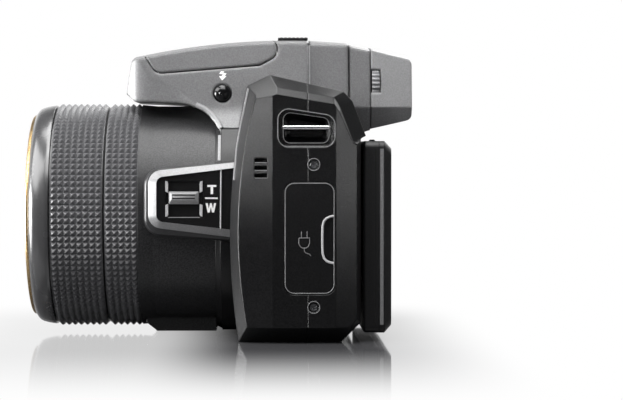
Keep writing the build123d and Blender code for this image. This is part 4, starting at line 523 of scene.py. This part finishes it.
def bevel_loop(x, grow):
    """The outer edge of the pod's light bevel."""
    return at_side(x, rounded((-40.7 - grow, 47.8 + grow, 3.9), (-40.7 - grow, 32.0 - grow, 3.9),
                              (-16.2, 28.95 - grow, 0.01), (-16.2, 50.35 + grow, 0.01)))


def panel_loop(x, grow):
    """The outline of the switch panel let into the pod."""
    return at_side(x, rounded((-38.25 - grow, 46.05 + grow, 1.9), (-38.25 - grow, 33.65 - grow, 1.9),
                              (-16.3, 31.15 - grow, 0.01), (-16.3, 48.75 + grow, 0.01)))


dress("zoom_pod_moulding", *skin([
    pod_loop(27.2, 0, 5.0), pod_loop(34.2, 0, 5.0), pod_loop(35.0, -0.2, 4.8), pod_loop(35.6, -0.65, 4.5),
    bevel_loop(35.85, 0.25), bevel_loop(35.9, 0.05), bevel_loop(35.6, -0.6)]),
    pod_abs, "camera_body", "cover_plastic", ("zoom_switch_frame",))
dress("zoom_pod_light_bevel", *skin([
    bevel_loop(35.55, 0), bevel_loop(35.95, 0), bevel_loop(36.05, -0.1), panel_loop(37.45, 0.12),
    panel_loop(37.55, 0), panel_loop(pod_x - 0.6, 0)], False, False),
    light_bevel, "camera_body", "cover_plastic")


def window_loop(x, grow, corner=0.9):
    """The outline of the window that the zoom key moves in."""
    return at_side(x, rounded((-35.7 - grow, 44.9 + grow, corner), (-35.7 - grow, 34.7 - grow, corner),
                              (-25.1 + grow, 34.7 - grow, corner), (-25.1 + grow, 44.9 + grow, corner)))


dress("zoom_panel_plate", *skin([
    panel_loop(pod_x - 1.2, 0), panel_loop(pod_x - 0.6, 0), window_loop(pod_x - 0.6, 0.25, 1.1),
    window_loop(pod_x - 0.7, 0.08), window_loop(pod_x - 0.9, 0), window_loop(pod_x - 3.8, 0)], True, False),
    panel_abs, "camera_body", "gloss_black", ("zoom_switch_panel",))
dress("zoom_window_well", *skin([window_loop(pod_x - 4.0, -0.02), window_loop(pod_x - 3.4, -0.02)]),
      groove_shadow, "camera_body", "gloss_black")

# Bright guards at the four corners of the window
guard_x = pod_x - 0.5
for side, outer, inner in (("front", -35.75, -34.95), ("rear", -25.2, -26.0)):
    inward = 1 if side == "front" else -1
    corner, slant = inner + 0.05 * inward, inner - 0.15 * inward
    for level, guard in (
            ("high", [(outer, 42.15), (inner, 41.7), (corner, 44.2), (slant, 44.9), (outer, 45.1)]),
            ("low", [(outer, 38.25), (inner, 38.55), (corner, 35.7), (slant, 35.1), (outer, 34.9)])):
        middle_y, middle_z = (inner + outer) / 2, sum(z for _, z in guard) / len(guard)
        top = [(middle_y + (y - middle_y) * 0.9, middle_z + (z - middle_z) * 0.96) for y, z in guard]
        dress(f"window_guard_{side}_{level}", *skin([
            at_side(guard_x - 0.5, guard), at_side(guard_x, guard), at_side(guard_x + 0.12, top)]),
            light_grey_and_highlight_abs, "camera_body", "gloss_black")
# The sill is a light grey bead: painted highlight along the window's lower edge.
dress("window_sill", *bead([(guard_x, -34.9, 34.72), (guard_x, -26.0, 34.72)], 0.13), edge_highlight_abs,
      "camera_body", "gloss_black")


def key_loop(x, front, rear, low, top, corner=0.25):
    """A level of the zoom key."""
    return at_side(x, rounded((front, top, corner), (front, low, corner), (rear, low, corner),
                              (rear, top, corner)))


key_top = pod_x + 0.4
dress("zoom_key_stem", *skin([key_loop(pod_x - 3.9, -34.8, -26.15, 38.45, 42.0),
                              key_loop(pod_x - 0.75, -34.8, -26.15, 38.45, 42.0)]),
      groove_shadow, "zoom_slider", "gloss_black")
dress("zoom_key_sloped", *skin([
    key_loop(pod_x - 0.9, -34.8, -26.3, 38.5, 42.1), key_loop(pod_x - 0.6, -34.8, -26.3, 38.5, 42.1),
    key_loop(key_top - 0.06, -33.95, -27.1, 39.65, 41.5, 0.2),
    key_loop(key_top, -33.85, -27.2, 39.75, 41.4, 0.15)]),
    light_bevel, "zoom_slider", "gloss_black", ("zoom_slider",))
# Near-black strips across the key's top: painted shade of its grooves.
for row, height in enumerate((40.15, 41.1)):
    dress(f"zoom_key_groove_{row}", *box((key_top - 0.1, -33.75, height - 0.2),
                                         (key_top + 0.02, -27.3, height + 0.2)),
          groove_shadow, "zoom_slider", "gloss_black")


def panel_mark(name, loop):
    """A printed mark on the switch panel."""
    return mark(name, [at_side(pod_x, loop)], "zoom_switch_panel", "camera_body", proud=0.03)


panel_mark("tele_mark", [(-23.85, 43.95), (-23.85, 43.4), (-22.92, 43.4), (-22.92, 41.35), (-22.2, 41.35),
                         (-22.2, 43.4), (-21.3, 43.4), (-21.3, 43.95)][::-1])
panel_mark("wide_mark", [(-24.35, 38.8), (-23.72, 38.8), (-23.42, 37.2), (-23.08, 38.8), (-22.6, 38.8),
                         (-22.24, 37.2), (-21.96, 38.8), (-21.35, 38.8), (-21.94, 36.15), (-22.52, 36.15),
                         (-22.84, 37.7), (-23.18, 36.15), (-23.76, 36.15)])
panel_mark("zoom_divider", [(-24.5, 40.0), (-20.9, 39.95), (-20.9, 40.4), (-24.5, 40.45)])
# A lighter bead down the panel's rear edge: painted highlight on the seam.
dress("zoom_panel_edge_bead", *bead([(pod_x - 0.55, -20.1, 31.6), (pod_x - 0.5, -19.95, 48.2)], 0.22),
      light_grey_and_highlight_abs, "camera_body", "gloss_black")

# Left side


def ring_path(centre, out, radius, count=32):
    """Points of a circle round a centre, square to a direction."""
    turn = Vector(out).to_track_quat("Z", "Y")
    return [Vector(centre) + turn @ Vector((radius * cos(a), radius * sin(a), 0))
            for a in (2 * pi * n / count for n in range(count))]


def cross_loop(arm, half, steps=4):
    """A plus sign as one loop, with the same count of points along each edge."""
    corners = [(half, half), (half, arm), (-half, arm), (-half, half), (-arm, half), (-arm, -half),
               (-half, -half), (-half, -arm), (half, -arm), (half, -half), (arm, -half), (arm, half)]
    loop = []
    for index, start in enumerate(corners):
        stop = corners[(index + 1) % len(corners)]
        loop += [(start[0] + (stop[0] - start[0]) * n / steps, start[1] + (stop[1] - start[1]) * n / steps)
                 for n in range(steps)]
    return loop


def screw_head(centre, out, turned_by):
    """A small pan head with a cross recess, as points and faces; centre is the middle of its flat."""
    turn = Vector(out).to_track_quat("Z", "Y") @ Matrix.Rotation(radians(turned_by), 3, "Z").to_quaternion()
    recess = cross_loop(0.78, 0.2)
    loops = []
    for radius, height in ((1.26, -0.8), (1.26, -0.28), (1.2, -0.12), (1.05, -0.02), (0.92, 0.0)):
        loops.append([Vector((*(Vector(p).normalized() * radius), height)) for p in recess])
    loops.append([Vector((x, y, 0.0)) for x, y in recess])
    loops.append([Vector((x * 0.85, y * 0.85, -0.45)) for x, y in recess])
    return skin([[Vector(centre) + turn @ point for point in loop] for loop in loops])


# Two case screws in the left side and two in the base
screw_y, upper_z, lower_z = 6.05, 49.8, 10.1
heads = []
for place, toward, turned_by in (
        ((50.1, screw_y, upper_z), (1, 0, 0), 20), ((50.1, screw_y, lower_z), (1, 0, 0), 38),
        ((30.0, -4.0, 0.4), (0, 0, -1), 12), ((-36.0, -4.0, 0.4), (0, 0, -1), 55)):
    heads.append(screw_head(place, toward, turned_by))
dress("case_screw_heads", *joined(*heads), screw_steel, "camera_body", "steel", ("case_screws",))
# Light grey rings round the side screws: painted highlight on the edges round their heads.
for level, height in (("upper", upper_z), ("lower", lower_z)):
    dress(f"side_screw_rim_{level}",
          *bead(ring_path((side_x - 0.03, screw_y, height), (1, 0, 0), 1.68), 0.13, closed=True),
          edge_highlight_abs, "camera_body", "casing_plastic")


def pocket_loop(x, grow, corner):
    """The strap recess, a rounded shape whose top falls towards the rear."""
    return at_side(x, rounded((-3.95 - grow, 65.7 + grow, corner), (-3.95 - grow, 54.6 - grow, corner),
                              (12.0 + grow, 54.6 - grow, corner), (12.0 + grow, 63.3 + grow, corner)))


def well_loop(x, grow, corner):
    """The deep part of the strap recess."""
    return at_side(x, rounded((-2.35 - grow, 64.35 + grow, corner), (-2.35 - grow, 55.85 - grow, corner),
                              (10.2 + grow, 55.85 - grow, corner), (10.2 + grow, 62.5 + grow, corner)))


dress("strap_recess_lining", *skin([
    pocket_loop(41.6, -1.6, 2.0), pocket_loop(49.6, -0.05, 2.9), pocket_loop(side_x - 0.06, -0.05, 2.9),
    pocket_loop(side_x - 0.12, -0.25, 2.8), pocket_loop(side_x - 0.5, -0.4, 2.7),
    well_loop(side_x - 0.7, 0.1, 1.9), well_loop(side_x - 0.95, -0.05, 1.8),
    well_loop(side_x - 1.6, -0.15, 1.7), well_loop(44.6, -0.7, 1.7), well_loop(43.2, -1.6, 1.2)]),
    pocket_gloss, "camera_body", "casing_plastic", ("strap_pocket",), 40)
# Light grey beads round the recess and its step: painted highlight along their edges.
dress("strap_recess_rim", *bead(pocket_loop(side_x - 0.06, -0.02, 2.95), 0.13, closed=True),
      edge_highlight_abs, "camera_body", "casing_plastic")
dress("strap_recess_step", *bead(well_loop(side_x - 0.66, 0.1, 1.9), 0.09, closed=True),
      edge_highlight_abs, "camera_body", "casing_plastic")
dress("strap_bar_polished", *lathe([(0, 0.2), (0, 0.52), (0.12, 0.64), (14.46, 0.64), (14.58, 0.52),
                                    (14.58, 0.2)], (49.25, -3.24, 60.1), (0, 1, 0), 32),
      plated_steel, "camera_body", "steel", ("strap_bar",))


def door_loop(x, grow):
    """The port door's outline."""
    return at_side(x, rounded((-2.0 - grow, 44.7 + grow, 2.5), (-2.0 - grow, 13.9 - grow, 2.5),
                              (11.8 + grow, 13.9 - grow, 2.5), (11.8 + grow, 44.7 + grow, 2.5)))


# A light grey bead round the door, and a lighter one round its notch: painted highlight along their edges.
dress("port_door_edge", *bead(door_loop(side_x - 0.08, -0.12), 0.16, closed=True),
      edge_highlight_abs, "port_door", "cover_plastic")
notch = [(11.62, 35.5), (10.6, 35.35), (9.6, 34.9), (8.85, 34.1), (8.5, 32.9), (8.42, 31.0), (8.42, 28.9),
         (8.42, 26.9), (8.5, 25.0), (8.85, 23.8), (9.6, 23.0), (10.6, 22.55), (11.62, 22.4)]
dress("port_door_notch_rim", *bead(at_side(side_x - 0.12, notch), 0.36),
      light_grey_and_highlight_abs, "port_door", "cover_plastic")

# A plug with two prongs and a lead, the plain sign for a cable socket, in thin raised strokes of light grey
# that are a painted highlight on the moulded sign
plug = [[(1.9, 29.4), (4.9, 29.4), (4.9, 27.9), (4.5, 27.0), (3.9, 26.6), (2.9, 26.6), (2.3, 27.0),
         (1.9, 27.9), (1.9, 29.3)],
        [(2.6, 29.5), (2.6, 31.2)],
        [(4.2, 29.5), (4.2, 31.2)],
        [(3.4, 26.6), (3.4, 25.8), (3.7, 25.3), (4.3, 25.1), (4.9, 24.9), (5.2, 24.4)]]
dress("port_door_plug_mark", *joined(*[bead(at_side(side_x - 0.02, stroke), 0.13, 6) for stroke in plug]),
      edge_highlight_abs, "port_door", "cover_plastic")

# The seam between the casing's halves, and the lips of the speaker slots, as light grey strips and beads:
# painted highlight along their edges
for end, (low, high) in {"upper": (45.0, 54.4), "lower": (4.6, 13.6)}.items():
    dress(f"side_seam_inlay_{end}", *box((side_x - 0.5, side_seam_y - 0.03, low),
                                         (side_x - 0.02, side_seam_y + 0.33, high)),
          edge_highlight_abs, "camera_body", "casing_plastic")
for row in range(3):
    slot_z = 46.1 + 2.15 * row
    laid_bead(f"speaker_slot_lip_{row}", "front_casing", [(-10.3 + 0.3 * n, slot_z - 0.1) for n in range(12)],
              0.02, 0.1, edge_highlight_abs, "casing_plastic")

# The crease where the casing's front corner meets its side, as a light grey bead: a painted highlight
laid_bead("casing_front_edge_bead", "front_casing", [
    (-12.0, 71.0), (-13.3, 64.7), (-14.25, 60.0), (-15.2, 54.7), (-15.65, 49.6), (-16.0, 45.4)],
    -0.2, 0.45, edge_highlight_abs, "casing_plastic")

# Top housing and finder

# The rounded edge of the opening for the barrel: an arch under the hump that runs down into the collar, as
# light grey beads that are a painted highlight along the edge
laid_bead("barrel_arch_lip", "top_cover", [
    (-27.6, 67.1), (-25.0, 65.9), (-23.1, 64.3), (-21.4, 62.2), (-20.5, 60.7), (-20.35, 60.3)],
    -0.3, 0.8, light_bevel, "cover_plastic", 12)
laid_bead("barrel_collar_lip", "front_casing", [
    (-20.35, 60.0), (-20.35, 58.2), (-20.35, 56.0), (-20.35, 53.6), (-20.35, 50.9)],
    -0.25, 0.72, light_bevel, "casing_plastic", 12)

# A bolt and an arrow, the plain sign for the flash, over its key
symbol_y, symbol_z = -20.1, 75.35
symbol = {
    "bolt": [(-0.29, 1.55), (0.7, 1.55), (0.41, 1.1), (1.4, 0.93), (0.73, 0.09), (-0.12, 0.09), (0.35, 0.67),
             (-0.76, 0.81)],
    "arrow": [(-0.87, 0.15), (1.37, 0.15), (0.09, -1.13)]}
for name, loop in symbol.items():
    mark(f"flash_symbol_{name}", [at_side(outside, [(symbol_y + y, symbol_z + z) for y, z in loop])],
         "top_cover", "camera_body", "cover_plastic")
dress("flash_key_domed", *lathe([
    (-4.6, 2.6), (0.15, 2.6), (0.62, 2.5), (1.05, 2.25), (1.45, 1.75), (1.7, 1.1), (1.8, 0.5), (1.82, 0.02),
    (-4.6, 0.02)], (18.85, -19.9, 70.4), (1, 0, 0), 48),
    key_lacquer, "flash_key", "gloss_black", ("flash_key",), 60)

# The seam between the hump and the finder cover, on both sides, as a light strip: a painted highlight along
# the seam
for name, side in (("left", 1), ("right", -1)):
    sunk = Vector((side * 0.5, 0, 0))
    strip = []
    for step in range(13):
        z = 71.6 + step * 1.08
        front = laid_on("top_cover", [(side * outside, 4.9, z)], (-side, 0, 0), 0.06)[0]
        rear = laid_on("finder_cover", [(side * outside, 5.75, z)], (-side, 0, 0), 0.06)[0]
        strip.append([front, rear, rear - sunk, front - sunk])
    dress(f"hump_seam_inlay_{name}", *skin(strip), light_grey_and_highlight_abs, "camera_body", "cover_plastic")

grille_z = 87.4             # top of the plate over the microphones
grille = [box((-7.9, -3.6, 86.75), (7.9, 5.2, grille_z - 0.1))]
for n in range(7):
    y = -2.9 + n * 1.2
    grille.append(box((-7.7, y, grille_z - 0.3), (7.7, y + 0.62, grille_z)))
dress("microphone_grille_slotted", *joined(*grille), barrel_abs, "camera_body", "gloss_black",
      ("microphone_grille",))


def ribbed_disc(centre, axis, thick, radius, ribs, depth, bevel):
    """A thumb wheel with rounded ribs, as points and faces."""
    turn = Vector(axis).to_track_quat("Z", "Y")
    fine = 8                # points for each rib
    wave = [radius - depth * (0.5 - 0.5 * cos(2 * pi * (n % fine) / fine)) ** 1.5 for n in range(ribs * fine)]
    loops = []
    for height, drop in ((0, bevel), (bevel * 0.4, bevel * 0.25), (bevel, 0), (thick - bevel, 0),
                         (thick - bevel * 0.4, bevel * 0.25), (thick, bevel)):
        loop = []
        for n, reach in enumerate(wave):
            angle, size = 2 * pi * n / len(wave), reach - drop
            loop.append(Vector(centre) + turn @ Vector((size * cos(angle), size * sin(angle), height)))
        loops.append(loop)
    return skin(loops)


dress("dioptre_wheel_ribbed", *ribbed_disc((12.86, 23.9, 73.4), (0, 1, 0), 2.2, 5.4, 26, 0.42, 0.18), rib_abs,
      "dioptre_wheel", "casing_plastic", ("dioptre_wheel",))

# Mode dial, shutter button and the other controls

dial_x, dial_y, dial_top = -34, 2, deck_z + 5.5
dial_foot = (dial_x, dial_y, deck_z + 0.1)
dress("mode_dial_milled", *joined(
    ribbed_disc(dial_foot, (0, 0, 1), 4.4, 8.4, 60, 0.22, 0.3),
    lathe([(4.4, 0.02), (4.4, 7.9), (5.0, 7.7), (5.35, 7.3), (5.4, 6.9), (5.4, 0.02)],
          dial_foot, (0, 0, 1), 72),
    lathe([(-2.4, 0.02), (-2.4, 1.5), (0.3, 1.5), (0.3, 0.02)], dial_foot, (0, 0, 1), 32)),
    dial_metal, "mode_dial", "casing_plastic", ("mode_dial",))


def numeral(text, centre, size, turned_by, body):
    """A figure printed flat on a face that looks up."""
    curve = bpy.data.curves.new(f"dial_numeral_{text}", "FONT")
    curve.body, curve.size, curve.extrude = text, size * MM, 0.02 * MM
    curve.align_x = curve.align_y = "CENTER"
    made = bpy.data.objects.new(f"dial_numeral_{text}", curve)
    made.location = Vector(centre) * MM
    made.rotation_euler = (0, 0, turned_by)
    made.data.materials.append(white_ink)
    bpy.context.scene.collection.objects.link(made)
    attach(made, body)
    return made


for n in range(8):
    angle = 2 * pi * n / 8
    numeral(str(n + 1), (dial_x + 5.4 * cos(angle), dial_y + 5.4 * sin(angle), dial_top + 0.02), 2.6,
            angle - pi / 2, "mode_dial")
ticks = []
for n in range(8):
    angle = 2 * pi * (n + 0.5) / 8
    along, across = Vector((cos(angle), sin(angle), 0)), Vector((-sin(angle), cos(angle), 0))
    middle = Vector((dial_x, dial_y, dial_top))
    loop = [middle + along * radius + across * off
            for radius, off in ((5.6, -0.12), (6.7, -0.12), (6.7, 0.12), (5.6, 0.12))]
    ticks.append(skin([loop, [point + Vector((0, 0, 0.04)) for point in loop]]))
dress("mode_dial_ticks", *joined(*ticks), white_ink, "mode_dial", "casing_plastic")
dress("mode_index_line", *box((dial_x - 0.15, -8.0, deck_z - 0.05), (dial_x + 0.15, -6.9, deck_z + 0.04)),
      white_ink, "camera_body", "casing_plastic")


def back_mark(name, loops, key):
    """A printed mark on a key of the rear face, drawn in X and Z."""
    outlines = [[(x, outside, z) for x, z in loop] for loop in loops]
    return mark(name, outlines, key, key, "gloss_black", (0, -1, 0), 0.03)


back_mark("playback_triangle", [[(-55.5, 38.6), (-57.5, 37.5), (-55.5, 36.4)]], "playback_key")
back_mark("menu_bars", [[(-42.4, z), (-44.6, z), (-44.6, z + 0.35), (-42.4, z + 0.35)]
                        for z in (36.5, 37.3, 38.1)], "menu_key")
pad_x, pad_z = -50, 22
base, tip, half = 5.6, 6.8, 0.75    # an arrow's foot and point, out from the pad's middle, and half its width
for name, (dx, dz) in {"up": (0, 1), "down": (0, -1), "left": (-1, 0), "right": (1, 0)}.items():
    back_mark(f"pad_arrow_{name}", [[
        (pad_x + dx * tip, pad_z + dz * tip),
        (pad_x + dx * base + dz * half, pad_z + dz * base - dx * half),
        (pad_x + dx * base - dz * half, pad_z + dz * base + dx * half)]], "control_pad")
back_mark("centre_key_dot", [[(pad_x + 0.6 * cos(2 * pi * n / 20), pad_z + 0.6 * sin(2 * pi * n / 20))
                              for n in range(20)]], "centre_key")

# Screen

screen_side_x = 42.0        # the screen's left side
# The dark cover line marks a seam; the bright band is a light grey strip, a painted highlight.
for name, (low, high, proud, finish) in {"cover_line": (23.5, 23.8, 0.02, groove_shadow),
                                         "bright_band": (24.9, 25.9, 0.06, edge_highlight_abs)}.items():
    dress(f"screen_side_{name}", *box((screen_side_x - 0.6, low, 4.6), (screen_side_x + proud, high, 54.2)),
          finish, "screen", "casing_plastic")
nub_y, nub_foot = 24.7, 56.35
nub = [[(x, nub_y + y, nub_foot + z) for y, z in ((-1.1, 0), (1.1, 0), (0.6, rise), (-0.6, rise))]
       for x, rise in ((-3.0, 0), (-2.6, 0.75), (2.6, 0.75), (3.0, 0))]
dress("screen_latch_nub", *skin(nub), screen_abs, "screen", "casing_plastic")

# Finishes of the solids that stay as they are

finishes = {
    casing_abs: ("front_casing", "rear_casing", "port_bay", "power_lever", "command_dial"),
    cover_abs: ("top_cover", "flash_lid", "finder_cover", "finder_neck"),
    barrel_abs: ("lens_barrel", "lens_tube_outer", "lens_tube_inner", "lens_rear_group"),
    door_abs: ("port_door", "battery_door"),
    screen_abs: ("screen_back_cover", "screen_bezel"),
    arm_abs: ("screen_arm",),
    eyecup_abs: ("eyecup",),
    soft_rubber: ("thumb_pad",),
    grip_skin: ("grip_rubber",),
    key_lacquer: ("finder_key", "menu_key", "playback_key", "centre_key", "control_pad"),
    bright_key: ("shutter_button",),
    panel_abs: ("lens_front_bezel", "speaker"),
    lens_glass: ("lens_front_glass", "lens_rear_glass"),
    screen_acrylic: ("screen_display", "finder_optics"),
    window_acrylic: ("flash_window",),
    reflector: ("flash_lamp",),
    sheet_steel: ("chassis", "screen_arm_leaf", "port_sockets", "zoom_motor"),
    plated_steel: ("screen_hinge_pin", "steel_pins"),
    brass: ("tripod_socket",),
    board_laminate: ("circuit_boards", "sensor_module", "memory_card"),
    battery_sleeve: ("battery",),
}
for finish, nodes in finishes.items():
    for node in nodes:
        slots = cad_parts[node].data.materials
        for index in range(len(slots)):
            slots[index] = finish
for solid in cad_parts.values():
    solid.data.shade_smooth()
    solid.data.set_sharp_from_angle(angle=radians(28))

# Studio


def studio_floor():
    """Gloss acrylic sheet: dark grey round the camera, where it shows the mirror image and is also painted
    shade; sheet and mirror image fade into white away from it.
    """
    bpy.ops.mesh.primitive_plane_add(size=6, location=(0, 0, -0.0001))
    floor = bpy.context.object
    floor.name = "studio_floor"
    material, tree, out = blank("grey_gloss_acrylic_and_painted_shade")
    shader = add(tree, "ShaderNodeBsdfPrincipled", {
        "Base Color": linear("#4a4a4c"), "Roughness": 0.06, "IOR": 1.6})
    white = add(tree, "ShaderNodeEmission", {"Color": linear("#ffffff"), "Strength": 1.0}).outputs[0]
    place = add(tree, "ShaderNodeTexCoord").outputs["Object"]
    places = add(tree, "ShaderNodeSeparateXYZ", {"Vector": place}).outputs
    # Each fade runs between two places, and leaves a share of the sheet.
    kept = 1.0
    for way, start, stop, left in (
            ("X", 0.062, 0.2, 0.0), ("X", -0.03, -0.12, 0.0),
            ("Y", -0.012, -0.04, 0.45), ("Y", -0.075, -0.13, 0.0), ("Y", 0.022, 0.06, 0.0)):
        fade = add(tree, "ShaderNodeMapRange", {"Value": places[way], "From Min": start, "From Max": stop,
                                                "To Min": 1.0, "To Max": left},
                   interpolation_type="SMOOTHSTEP").outputs["Result"]
        kept = add(tree, "ShaderNodeMath", {0: kept, 1: fade}, operation="MULTIPLY").outputs["Value"]
    seen = add(tree, "ShaderNodeLightPath").outputs["Is Camera Ray"]
    share = add(tree, "ShaderNodeMapRange", {"Value": kept, "From Min": 1.0, "From Max": 0.0, "To Max": seen})
    share = share.outputs["Result"]
    both = add(tree, "ShaderNodeMixShader", {0: share, 1: shader.outputs[0], 2: white}).outputs[0]
    tree.links.new(both, out.inputs["Surface"])
    floor.data.materials.append(material)


def studio_world():
    """White all round to the eye, and dimmer as light on matt surfaces; in gloss, a white backdrop behind the
    camera and a dim room before it."""
    world = bpy.data.worlds.new("white_studio")
    bpy.context.scene.world = world
    world.use_nodes = True
    tree = world.node_tree
    tree.nodes.clear()
    place = add(tree, "ShaderNodeTexCoord").outputs["Generated"]
    way = add(tree, "ShaderNodeSeparateXYZ", {"Vector": place}).outputs
    low = add(tree, "ShaderNodeMapRange", {"Value": way["Z"], "From Min": 0.6, "From Max": 0.25,
                                           "To Min": 0.06, "To Max": 1.0}).outputs["Result"]
    backdrop = add(tree, "ShaderNodeMapRange", {"Value": way["X"], "From Min": -0.1, "From Max": -0.45,
                                                "To Min": 0.06, "To Max": low}).outputs["Result"]
    path = add(tree, "ShaderNodeLightPath")
    as_light = add(tree, "ShaderNodeMapRange", {"Value": path.outputs["Is Glossy Ray"], "To Min": 0.45,
                                                "To Max": backdrop}).outputs["Result"]
    to_the_eye = add(tree, "ShaderNodeMath", {0: path.outputs["Is Camera Ray"],
                                              1: path.outputs["Is Transmission Ray"]},
                     operation="MAXIMUM").outputs["Value"]
    strength = add(tree, "ShaderNodeMapRange", {"Value": to_the_eye, "To Min": as_light,
                                                "To Max": 1.0}).outputs["Result"]
    sky = add(tree, "ShaderNodeBackground", {"Color": linear("#ffffff"), "Strength": strength}).outputs[0]
    tree.links.new(sky, add(tree, "ShaderNodeOutputWorld").inputs["Surface"])


def softbox(name, place, aim, wide, tall, power, spread=180):
    """A softbox that looks at a point; a grid before it narrows its light to a spread in degrees."""
    lamp = bpy.data.lights.new(name, "AREA")
    lamp.shape, lamp.size, lamp.size_y, lamp.energy = "RECTANGLE", wide, tall, power
    lamp.spread = radians(spread)
    made = bpy.data.objects.new(name, lamp)
    made.location = place
    made.rotation_euler = (Vector(aim) - Vector(place)).to_track_quat("-Z", "Y").to_euler()
    bpy.context.scene.collection.objects.link(made)


studio_floor()
studio_world()
softbox("main_softbox", (0.33, 0, 0.56), (0, -0.02, 0.05), 0.4, 0.34, 2.4)
softbox("top_softbox", (0.02, -0.05, 0.66), (0, -0.02, 0.05), 0.5, 0.34, 3.6)
softbox("front_softbox", (0.2, -0.5, 0.46), (0, -0.04, 0.05), 0.6, 0.4, 5.0)
softbox("level_softbox", (0.03, -0.62, 0.06), (0.03, -0.06, 0.035), 0.3, 0.2, 7.0)
softbox("near_softbox", (0.33, -0.14, 0.088), (0.049, -0.012, 0.075), 0.06, 0.06, 0.0024, 9)
softbox("rear_softbox", (0.29, 0.21, 0.07), (0.049, 0.016, 0.056), 0.06, 0.06, 0.0016, 15)
softbox("far_softbox", (-0.6, 0.3, 0.5), (0, 0, 0.05), 0.5, 0.5, 3.0)

# Viewpoint, level with the left side and far enough off to draw the depth flat

eye = bpy.data.objects.new("camera", bpy.data.cameras.new("camera"))
eye.data.sensor_width, eye.data.lens = 36.0, 121.0
eye.location = (0.631, -0.00723, 0.05215)
eye.rotation_euler = (Vector((0, 0.0065, 0.0389)) - eye.location).to_track_quat("-Z", "Y").to_euler()
bpy.context.scene.collection.objects.link(eye)
bpy.context.scene.camera = eye
bpy.context.scene.view_settings.view_transform = "Standard"
